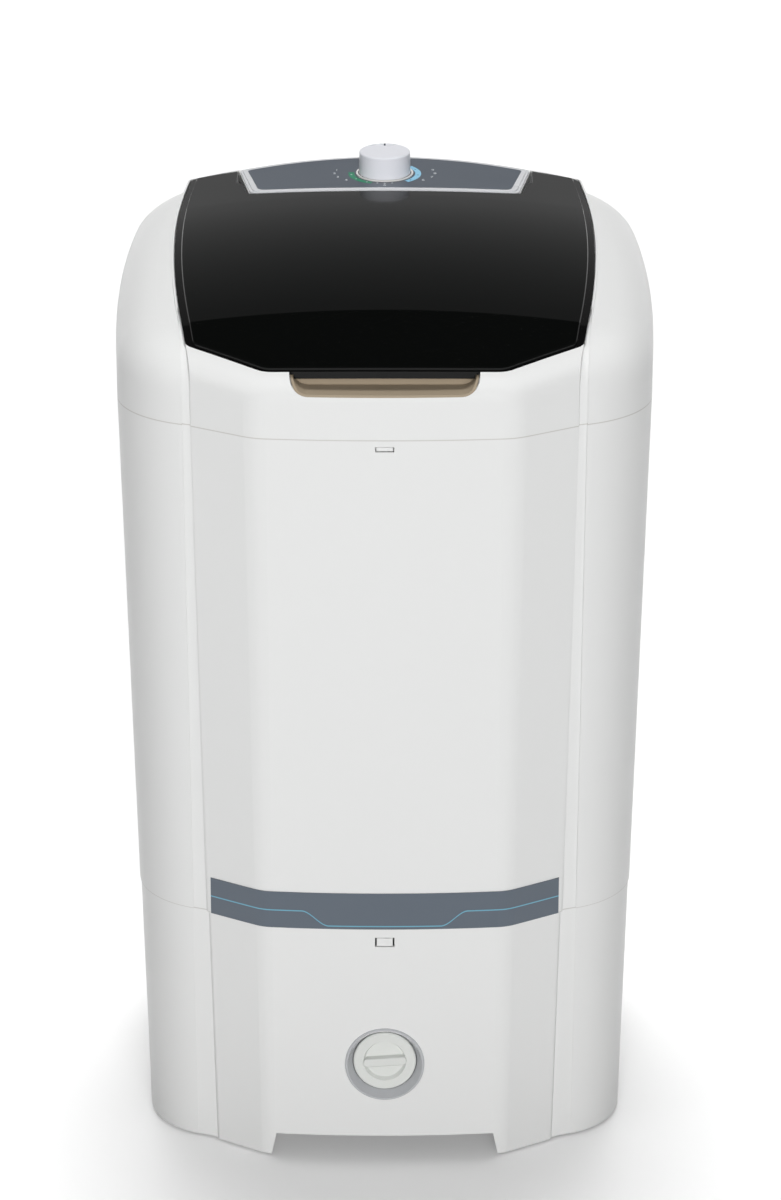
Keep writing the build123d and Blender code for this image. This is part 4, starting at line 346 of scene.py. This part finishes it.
def rise_tint():
    """Blend of two colours by height: the second colour is mixed in by the amount at the bottom and fades
    out by the height High.
    """
    colour, floats = "NodeSocketColor", "NodeSocketFloat"
    group, inner, outer = new_group(
        "Rise tint",
        [("Clean", colour, (0.8, 0.8, 0.8, 1)), ("Aged", colour, (0.7, 0.7, 0.65, 1)),
         ("Low", floats, 0.0), ("High", floats, 0.4), ("Amount", floats, 0.3)],
        [("Colour", colour)],
    )
    fade = ramp(group, axes(group)["Z"], inner.outputs["Low"], inner.outputs["High"], 1, 0)
    share = math_node(group, "MULTIPLY", fade, inner.outputs["Amount"])
    blend = mix_colours(group, share, inner.outputs["Clean"], inner.outputs["Aged"])
    group.links.new(blend, outer.inputs["Colour"])
    return group


def brushed_lines():
    """Fine lines along one axis, for drawn or plated metal."""
    floats = "NodeSocketFloat"
    group, inner, outer = new_group(
        "Brushed lines",
        [("Line size", floats, 260.0), ("Low", floats, 0.28), ("High", floats, 0.5)],
        [("Roughness", floats), ("Height", floats)],
    )
    place = add_node(group, "ShaderNodeTexCoord").outputs["Object"]
    stretch = add_node(group, "ShaderNodeMapping")
    stretch.inputs["Scale"].default_value = BRUSH_STRETCH
    group.links.new(place, stretch.inputs["Vector"])
    noise = add_node(group, "ShaderNodeTexNoise")
    noise.inputs["Detail"].default_value = 4
    group.links.new(stretch.outputs[0], noise.inputs["Vector"])
    group.links.new(inner.outputs["Line size"], noise.inputs["Scale"])
    low, high = inner.outputs["Low"], inner.outputs["High"]
    rough = ramp(group, noise.outputs["Fac"], 0, 1, low, high, "LINEAR")
    group.links.new(rough, outer.inputs["Roughness"])
    group.links.new(noise.outputs["Fac"], outer.inputs["Height"])
    return group


def place_group(tree, name, maker, **values):
    """A node group, made at its first use, with its inputs set by name."""
    node = add_node(tree, "ShaderNodeGroup")
    node.node_tree = bpy.data.node_groups.get(name) or maker()
    for key, value in values.items():
        node.inputs[key.replace("_", " ").capitalize()].default_value = value
    return node


def new_material(name):
    """A material with a bare Principled shader. Returns material, tree, shader."""
    material = bpy.data.materials.new(name)
    material.use_nodes = True
    return material, material.node_tree, principled(material)


def give_bump(tree, shader, height, strength, distance):
    bump = add_node(tree, "ShaderNodeBump")
    bump.inputs["Strength"].default_value = strength
    bump.inputs["Distance"].default_value = distance
    tree.links.new(height, bump.inputs["Height"])
    tree.links.new(bump.outputs[0], shader.inputs["Normal"])


def plastic(name, colour, low=0.3, high=0.4, grain=900.0, depth=0.02, flow=0.4):
    """Moulded plastic: mottled roughness and a fine grain."""
    found = bpy.data.materials.get(name)
    if found:
        return found
    material, tree, shader = new_material(name)
    shader.inputs["Base Color"].default_value = (*colour, 1)
    texture = place_group(tree, "Moulding grain", moulding_grain, grain_size=grain, flow_share=flow)
    rough = ramp(tree, texture.outputs["Mottle"], MOTTLE_LOW, MOTTLE_HIGH, low, high)
    tree.links.new(rough, shader.inputs["Roughness"])
    give_bump(tree, shader, texture.outputs["Height"], depth, GRAIN_DEPTH)
    return material


def metal(name, colour, low=0.25, high=0.45, line=260.0, depth=0.05):
    """Drawn, plated or cast metal with fine lines."""
    found = bpy.data.materials.get(name)
    if found:
        return found
    material, tree, shader = new_material(name)
    shader.inputs["Base Color"].default_value = (*colour, 1)
    shader.inputs["Metallic"].default_value = 1
    texture = place_group(tree, "Brushed lines", brushed_lines, line_size=line, low=low, high=high)
    tree.links.new(texture.outputs["Roughness"], shader.inputs["Roughness"])
    give_bump(tree, shader, texture.outputs["Height"], depth, BRUSH_DEPTH)
    return material


def housing_white():
    """White of the three housing parts, warmer towards the floor, with the shade in the two seams."""
    look = bpy.context.scene.washer_housing
    material = plastic("Housing white", look.white, 0.28, 0.28, grain=420.0, depth=0.01, flow=0.0)
    tree = material.node_tree
    # The white turns slightly darker and warmer towards the floor
    tint = place_group(tree, "Rise tint", rise_tint, low=0.0, high=TINT_HEIGHT, amount=TINT_SHARE)
    tint.inputs["Clean"].default_value = (*look.white, 1)
    tint.inputs["Aged"].default_value = (*look.warm, 1)
    height, width = axes(tree)["Z"], look.seam_width
    lines = [line_mask(tree, height, seam, width * SEAM_CORE, width) for seam in (SEAM_LOW, SEAM_HIGH)]
    shade = math_node(tree, "MAXIMUM", *lines)
    colour_from(material, mix_colours(tree, shade, tint.outputs["Colour"], (*look.seam, 1)))
    return material


def band_slate():
    """Slate of the trim band, with the thin line that dips at the middle."""
    look = bpy.context.scene.washer_band
    material = plastic("Band slate", look.slate, 0.30, 0.38, grain=700.0, depth=0.02)
    tree = material.node_tree
    place = axes(tree)
    side = math_node(tree, "ABSOLUTE", place["X"])
    low, high = SEAM_LOW + look.line_low, SEAM_LOW + look.line_high
    level = ramp(tree, side, DIP_START, DIP_END, low, high)
    core, reach = look.line_width * LINE_CORE, look.line_width * LINE_REACH
    line = line_mask(tree, place["Z"], level, core, reach)
    colour_from(material, mix_colours(tree, line, (*look.slate, 1), (*look.line, 1)))
    return material


def knob_white():
    """White of the knob, with the index mark at the back of its top."""
    look = bpy.context.scene.washer_console
    material = plastic("Knob white", look.knob, 0.24, 0.34, grain=500.0)
    tree = material.node_tree
    place = axes(tree)
    side = math_node(tree, "ABSOLUTE", place["X"])
    narrow = math_node(tree, "LESS_THAN", side, look.mark_width / 2)
    far = math_node(tree, "GREATER_THAN", place["Y"], DIAL_Y + look.mark_start)
    mark = math_node(tree, "MULTIPLY", narrow, far)
    colour_from(material, mix_colours(tree, mark, (*look.knob, 1), (*look.mark, 1)))
    return material


def dark_plastic():
    return plastic("Inner black", (0.02, 0.02, 0.022), 0.45, 0.6, grain=600.0, depth=0.06)


def soft_rubber():
    return plastic("Soft rubber", (0.018, 0.018, 0.018), 0.65, 0.85, grain=500.0, depth=0.1)


def screw_steel():
    return metal("Screw steel", (0.60, 0.60, 0.61), 0.22, 0.38)


def cast_alloy():
    return metal("Cast alloy", (0.50, 0.50, 0.51), 0.45, 0.62, 90.0, 0.15)


def zinc_plate():
    return metal("Zinc plate", (0.52, 0.53, 0.54), 0.3, 0.5, 60.0)


def inner_white():
    return plastic("Inner white", (0.68, 0.68, 0.67), 0.35, 0.5, grain=500.0, depth=0.04)


# Operators, one for each piece or group of like pieces
class WASHER_OT_housing(bpy.types.Operator):
    """Top cover, cabinet and base in gloss white"""

    bl_idname = "washer.housing"
    bl_label = "White housing"

    def execute(self, context):
        white = housing_white()
        for node in ("top_cover", "cabinet", "base"):
            finish(node, white)
        return {"FINISHED"}


class WASHER_OT_lid(bpy.types.Operator):
    """Black lid: frame and raised panel"""

    bl_idname = "washer.lid"
    bl_label = "Lid"

    def execute(self, context):
        look = context.scene.washer_lid
        panel = plastic("Lid black", look.black, 0.10, 0.13, grain=30.0, depth=0.004, flow=0.9)
        lower = plastic("Lid frame black", look.frame_black, 0.16, 0.2, grain=60.0, depth=0.01)
        for material in (panel, lower):
            principled(material).inputs["Specular IOR Level"].default_value = look.gloss
        finish("lid_panel", panel)
        finish("lid_frame", lower)
        return {"FINISHED"}


class WASHER_OT_hinge(bpy.types.Operator):
    """Hinge brackets, pins, screws and the bumpers of the lid"""

    bl_idname = "washer.hinge"
    bl_label = "Hinge"

    def execute(self, context):
        finish("hinge_brackets", plastic("Bracket grey", (0.30, 0.30, 0.31), 0.4, 0.55, depth=0.05))
        finish("hinge_pins", screw_steel())
        finish("hinge_screws", screw_steel())
        finish("lid_bumpers", soft_rubber())
        return {"FINISHED"}


class WASHER_OT_finger_recess(bpy.types.Operator):
    """Tray in the finger recess under the front of the lid"""

    bl_idname = "washer.finger_recess"
    bl_label = "Finger recess"

    def execute(self, context):
        look = context.scene.washer_housing
        finish("finger_grip_insert", plastic("Recess taupe", look.taupe, 0.35, 0.48, depth=0.04))
        return {"FINISHED"}


class WASHER_OT_console(bpy.types.Operator):
    """Bezel, fascia and the ring round the knob"""

    bl_idname = "washer.console"
    bl_label = "Console"

    def execute(self, context):
        look = context.scene.washer_console
        finish("console_bezel", plastic("Bezel pale", look.bezel, 0.2, 0.3, grain=700.0))
        finish("fascia_panel", plastic("Fascia slate", look.fascia, 0.30, 0.36, grain=1500.0, depth=0.03))
        finish("dial_ring", plastic("Ring white", (0.78, 0.77, 0.75), 0.2, 0.3))
        return {"FINISHED"}


def fascia_height(x, y):
    """Top of the fascia under a point of the plan."""
    fascia = frame["nodes"]["fascia_panel"]
    hit, place, _, _ = fascia.ray_cast(Vector((x, y, 1)), Vector((0, 0, -1)))
    if not hit:
        raise RuntimeError("no fascia under a printed mark")
    return place.z


def lay_on_fascia(piece, material):
    """Move a flat mark to the dial, drop its points on the fascia and let it ride there."""
    for point in piece.data.vertices:
        point.co.y += DIAL_Y
        point.co.z += fascia_height(point.co.x, point.co.y)
    settle(piece, "fascia_panel", material)


def printed_arc(name, first, last, look, material):
    """Ink arc round the dial: a ring drawn in from a circle, cut to its two ends."""
    bpy.ops.mesh.primitive_circle_add(vertices=ARC_CORNERS, radius=look.arc_outer)
    piece = named(name)
    edit_mode()
    bpy.ops.mesh.select_all(action="SELECT")
    bpy.ops.mesh.extrude_edges_move()
    shrink = look.arc_inner / look.arc_outer
    bpy.ops.transform.resize(value=(shrink, shrink, 1))
    object_mode()

    def outside(face):
        past_first = (degrees(atan2(face.center.y, face.center.x)) - first) % 360
        return past_first > last - first

    select_faces(piece, outside)
    bpy.ops.mesh.delete(type="FACE")
    object_mode()
    give_thickness(piece, ARC_THICKNESS)
    lay_on_fascia(piece, material)


def printed_dot(name, turn, reach, radius, material):
    """Small ink dot at an angle and distance from the knob's axis."""
    bpy.ops.mesh.primitive_circle_add(vertices=DOT_CORNERS, radius=radius, fill_type="NGON")
    piece = named(name)
    give_thickness(piece, DOT_THICKNESS)
    for point in piece.data.vertices:
        point.co.x += reach * cos(radians(turn))
        point.co.y += reach * sin(radians(turn))
    lay_on_fascia(piece, material)


def printed_dots(name, turns, reach, radius, material):
    for number, turn in enumerate(turns):
        printed_dot(f"{name}_{number}", turn, reach, radius, material)


def printed_figure(words, x, y, height, material):
    """One plain number beside the dial."""
    bpy.ops.object.text_add(location=(0, 0, 0))
    piece = named("figure_" + words)
    piece.data.body = words
    piece.data.size = height
    piece.data.align_x = "CENTER"
    piece.data.align_y = "CENTER"
    piece.data.extrude = FIGURE_THICKNESS
    bpy.ops.object.convert(target="MESH")
    piece = bpy.context.active_object
    for point in piece.data.vertices:
        point.co += Vector((x, y, FIGURE_LIFT))
    lay_on_fascia(piece, material)


class WASHER_OT_dial_print(bpy.types.Operator):
    """Printed arcs, dots and plain figures round the knob"""

    bl_idname = "washer.dial_print"
    bl_label = "Dial print"

    def execute(self, context):
        look = context.scene.washer_console
        green = plastic("Ink green", look.green, 0.35, 0.42)
        blue = plastic("Ink light blue", look.blue, 0.35, 0.42)
        pale = plastic("Ink pale", (0.55, 0.58, 0.60), 0.4, 0.5)
        deep = plastic("Ink deep", (0.01, 0.09, 0.12), 0.4, 0.5)
        printed_arc("arc_left", *LEFT_ARC, look, green)
        printed_arc("arc_right", *RIGHT_ARC, look, blue)
        middle = (look.arc_outer + look.arc_inner) / 2
        printed_dots("dot_left", LEFT_DOTS, middle, DOT_RADIUS, pale)
        printed_dots("dot_right", RIGHT_DOTS, middle, DOT_RADIUS, deep)
        printed_dots("dot_front", FRONT_DOTS, middle - FRONT_DOT_STEP, FRONT_DOT_RADIUS, pale)
        for words, (x, y) in FIGURE_PLACES.items():
            printed_figure(words, x * MM, y * MM, look.figure_height, pale)
        return {"FINISHED"}


class WASHER_OT_knob(bpy.types.Operator):
    """Timer knob on its shaft, with an index mark"""

    bl_idname = "washer.knob"
    bl_label = "Knob"

    def execute(self, context):
        finish("timer_knob", knob_white())
        finish("timer_shaft", screw_steel())
        finish("timer_body", dark_plastic())
        finish("timer_screws", screw_steel())
        return {"FINISHED"}


class WASHER_OT_band(bpy.types.Operator):
    """Slate trim band with its thin line"""

    bl_idname = "washer.band"
    bl_label = "Trim band"

    def execute(self, context):
        finish("front_band", band_slate())
        return {"FINISHED"}


class WASHER_OT_filter(bpy.types.Operator):
    """Filter ring, cap, seal and basket"""

    bl_idname = "washer.filter"
    bl_label = "Drain filter"

    def execute(self, context):
        look = context.scene.washer_filter
        finish("filter_ring", plastic("Filter ring grey", look.ring, 0.22, 0.3))
        finish("filter_cap", plastic("Filter cap white", look.cap, 0.25, 0.35))
        finish("filter_seal", soft_rubber())
        finish("filter_basket", plastic("Basket grey", (0.42, 0.43, 0.45), 0.4, 0.5, depth=0.04))
        return {"FINISHED"}


class WASHER_OT_tub(bpy.types.Operator):
    """Wash tub, mouth ring, seal and pulsator"""

    bl_idname = "washer.tub"
    bl_label = "Tub and pulsator"

    def execute(self, context):
        finish("wash_tub", inner_white())
        finish("mouth_ring", inner_white())
        finish("tub_seal", soft_rubber())
        finish("ring_screws", screw_steel())
        finish("pulsator", plastic("Pulsator blue", (0.30, 0.42, 0.56), 0.25, 0.36))
        finish("pulsator_screw", screw_steel())
        return {"FINISHED"}


class WASHER_OT_drive(bpy.types.Operator):
    """Shaft, housing, pulleys, belt and the frame that carries them"""

    bl_idname = "washer.drive"
    bl_label = "Drive"

    def execute(self, context):
        bronze = metal("Bush bronze", (0.55, 0.36, 0.18), 0.35, 0.5)
        belt = plastic("Belt rubber", (0.015, 0.015, 0.016), 0.6, 0.8, grain=260.0, depth=0.15)
        for node in ("drive_shaft", "housing_bolts", "pulley_nut", "frame_bolts"):
            finish(node, screw_steel())
        finish("bearing_housing", cast_alloy())
        finish("bearing_bushes", bronze)
        finish("shaft_seal", soft_rubber())
        finish("driven_pulley", plastic("Pulley grey", (0.12, 0.12, 0.13), 0.4, 0.55, depth=0.05))
        finish("motor_pulley", cast_alloy())
        finish("drive_belt", belt)
        finish("drive_frame", zinc_plate())
        return {"FINISHED"}


class WASHER_OT_motor(bpy.types.Operator):
    """Motor, its mounts and its capacitor"""

    bl_idname = "washer.motor"
    bl_label = "Motor"

    def execute(self, context):
        finish("motor_stator", metal("Stator laminations", (0.22, 0.22, 0.23), 0.4, 0.6, 900.0, 0.3))
        finish("motor_caps", cast_alloy())
        finish("rotor_shaft", screw_steel())
        finish("motor_mounts", soft_rubber())
        finish("motor_bolts", screw_steel())
        finish("run_capacitor", plastic("Capacitor cream", (0.58, 0.56, 0.50), 0.35, 0.5))
        finish("capacitor_clip", zinc_plate())
        return {"FINISHED"}


class WASHER_OT_pump(bpy.types.Operator):
    """Filter housing, pump, hoses, clamps and outlet"""

    bl_idname = "washer.pump"
    bl_label = "Pump and hoses"

    def execute(self, context):
        hose = plastic("Hose grey", (0.16, 0.16, 0.17), 0.45, 0.6, grain=300.0, depth=0.08)
        finish("filter_housing", plastic("Housing grey", (0.36, 0.37, 0.38), 0.4, 0.5, depth=0.04))
        finish("pump_motor", dark_plastic())
        finish("pump_impeller", dark_plastic())
        finish("drain_inlet_hose", hose)
        finish("drain_outlet_hose", hose)
        finish("hose_clamps", screw_steel())
        finish("outlet_spigot", inner_white())
        return {"FINISHED"}


class WASHER_OT_back_and_feet(bpy.types.Operator):
    """Rear cover, its screws, the supply bush and the rubber feet"""

    bl_idname = "washer.back_and_feet"
    bl_label = "Back and feet"

    def execute(self, context):
        finish("rear_access_cover", inner_white())
        finish("access_cover_screws", screw_steel())
        finish("cable_gland", dark_plastic())
        finish("rubber_feet", soft_rubber())
        return {"FINISHED"}


def add_sun(name, direction, strength, spread):
    """Soft sun that leaves no highlight of its own."""
    lamp = bpy.data.lights.new(name, "SUN")
    lamp.energy = strength
    lamp.angle = spread
    sun = bpy.data.objects.new(name, lamp)
    sun.visible_glossy = False
    sun.rotation_euler = Vector(direction).to_track_quat("-Z", "Y").to_euler()
    bpy.context.scene.collection.objects.link(sun)


def add_softbox(name, place, target, width, height, power):
    """Upright box light that faces its target."""
    lamp = bpy.data.lights.new(name, "AREA")
    lamp.shape = "RECTANGLE"
    lamp.size, lamp.size_y, lamp.energy = width, height, power
    box = bpy.data.objects.new(name, lamp)
    box.location = place
    box.rotation_euler = (Vector(target) - Vector(place)).to_track_quat("-Z", "Y").to_euler()
    bpy.context.scene.collection.objects.link(box)


def seen_directly(tree):
    """1 for camera, glossy and transmission rays, so metal and glass show the same background."""
    rays = add_node(tree, "ShaderNodeLightPath")
    total = math_node(tree, "ADD", rays.outputs["Is Camera Ray"], rays.outputs["Is Glossy Ray"])
    total = math_node(tree, "ADD", total, rays.outputs["Is Transmission Ray"])
    return math_node(tree, "MINIMUM", total, 1)


def pale_room(look):
    """World light: plain for diffuse light, and a white backdrop that ends overhead for gloss."""
    world = bpy.data.worlds.new("Room")
    bpy.context.scene.world = world
    world.use_nodes = True
    tree = world.node_tree
    light = tree.nodes["Background"]
    place = axes(tree, "Generated")
    height = math_node(tree, "MAXIMUM", place["Z"], 0.0)
    fall = math_node(tree, "POWER", math_node(tree, "SUBTRACT", 1.0, height), BACKDROP_FALL)
    backdrop = ramp(tree, fall, 0, 1, BACKDROP_TOP, 1, "LINEAR")
    side = math_node(tree, "ABSOLUTE", place["X"])
    at_sides = look.room_light * look.side_share
    room = ramp(tree, side, 0, 1, look.room_light, at_sides, "LINEAR")
    pick = add_node(tree, "ShaderNodeMix", data_type="FLOAT")
    for number, socket in ((0, seen_directly(tree)), (2, room), (3, backdrop)):
        tree.links.new(socket, pick.inputs[number])
    tree.links.new(pick.outputs[0], light.inputs["Strength"])
    light.inputs["Color"].default_value = (1, 1, 1, 1)


def pale_floor():
    """White floor that keeps the soft shadow of the machine."""
    bpy.ops.mesh.primitive_circle_add(
        vertices=64, radius=FLOOR_RADIUS, fill_type="NGON", location=FLOOR_MIDDLE
    )
    bpy.ops.object.transform_apply(location=True, rotation=True, scale=True)
    floor = named("studio_floor")
    material, tree, shader = new_material("Floor white")
    seen = seen_directly(tree)
    tones = [(tone, tone, tone, 1) for tone in (FLOOR_TONE, FLOOR_SEEN_TONE)]
    colour_from(material, mix_colours(tree, seen, *tones))
    shader.inputs["Roughness"].default_value = 0.9
    shader.inputs["Specular IOR Level"].default_value = 0
    glow = add_node(tree, "ShaderNodeEmission")
    tree.links.new(math_node(tree, "MULTIPLY", seen, FLOOR_GLOW), glow.inputs["Strength"])
    total = add_node(tree, "ShaderNodeAddShader")
    tree.links.new(shader.outputs[0], total.inputs[0])
    tree.links.new(glow.outputs[0], total.inputs[1])
    tree.links.new(total.outputs[0], tree.nodes["Material Output"].inputs["Surface"])
    painted(floor, material)


class WASHER_OT_stage(bpy.types.Operator):
    """Camera, studio light and pale floor"""

    bl_idname = "washer.stage"
    bl_label = "Stage"

    def execute(self, context):
        look = context.scene.washer_stage
        context.scene.view_settings.view_transform = "Standard"
        bpy.ops.object.camera_add(location=CAMERA_PLACE, rotation=(pi / 2 - look.pitch, 0, 0))
        camera = bpy.context.active_object
        camera.data.lens = look.lens
        camera.data.shift_x = CAMERA_SHIFT
        context.scene.camera = camera
        pale_floor()
        pale_room(look)
        for name, (direction, spread) in SUNS.items():
            add_sun(name, direction, getattr(look, name), radians(spread))
        add_softbox(
            "side_box", place=(-1.9, -1.3, 1.5), target=(0, 0, 0.5), width=0.5, height=1.4, power=3
        )
        return {"FINISHED"}


class WASHER_PT_panel(bpy.types.Panel):
    """Lists the pieces in the sidebar"""

    bl_idname = "WASHER_PT_panel"
    bl_label = "Washing machine"
    bl_space_type = "VIEW_3D"
    bl_region_type = "UI"
    bl_category = "Washer"

    def draw(self, context):
        for piece in PIECES:
            self.layout.operator(piece.bl_idname)
        for name in SETTINGS:
            box = self.layout.box()
            settings = getattr(context.scene, name)
            for key in settings.__annotations__:
                box.prop(settings, key)


SETTINGS = {
    "washer_housing": HousingSettings,
    "washer_lid": LidSettings,
    "washer_console": ConsoleSettings,
    "washer_band": BandSettings,
    "washer_filter": FilterSettings,
    "washer_stage": StageSettings,
}
PIECES = (
    WASHER_OT_stage,
    WASHER_OT_housing,
    WASHER_OT_lid,
    WASHER_OT_hinge,
    WASHER_OT_finger_recess,
    WASHER_OT_console,
    WASHER_OT_dial_print,
    WASHER_OT_knob,
    WASHER_OT_band,
    WASHER_OT_filter,
    WASHER_OT_tub,
    WASHER_OT_drive,
    WASHER_OT_motor,
    WASHER_OT_pump,
    WASHER_OT_back_and_feet,
)


def register():
    for group in SETTINGS.values():
        bpy.utils.register_class(group)
    for piece in (*PIECES, WASHER_PT_panel):
        bpy.utils.register_class(piece)
    for name, group in SETTINGS.items():
        setattr(bpy.types.Scene, name, PointerProperty(type=group))


def unregister():
    for name in SETTINGS:
        delattr(bpy.types.Scene, name)
    for piece in (WASHER_PT_panel, *reversed(PIECES), *SETTINGS.values()):
        bpy.utils.unregister_class(piece)


def main():
    register()
    for piece in PIECES:
        group, name = piece.bl_idname.split(".")
        getattr(getattr(bpy.ops, group), name)()


if __name__ == "__main__":
    main()
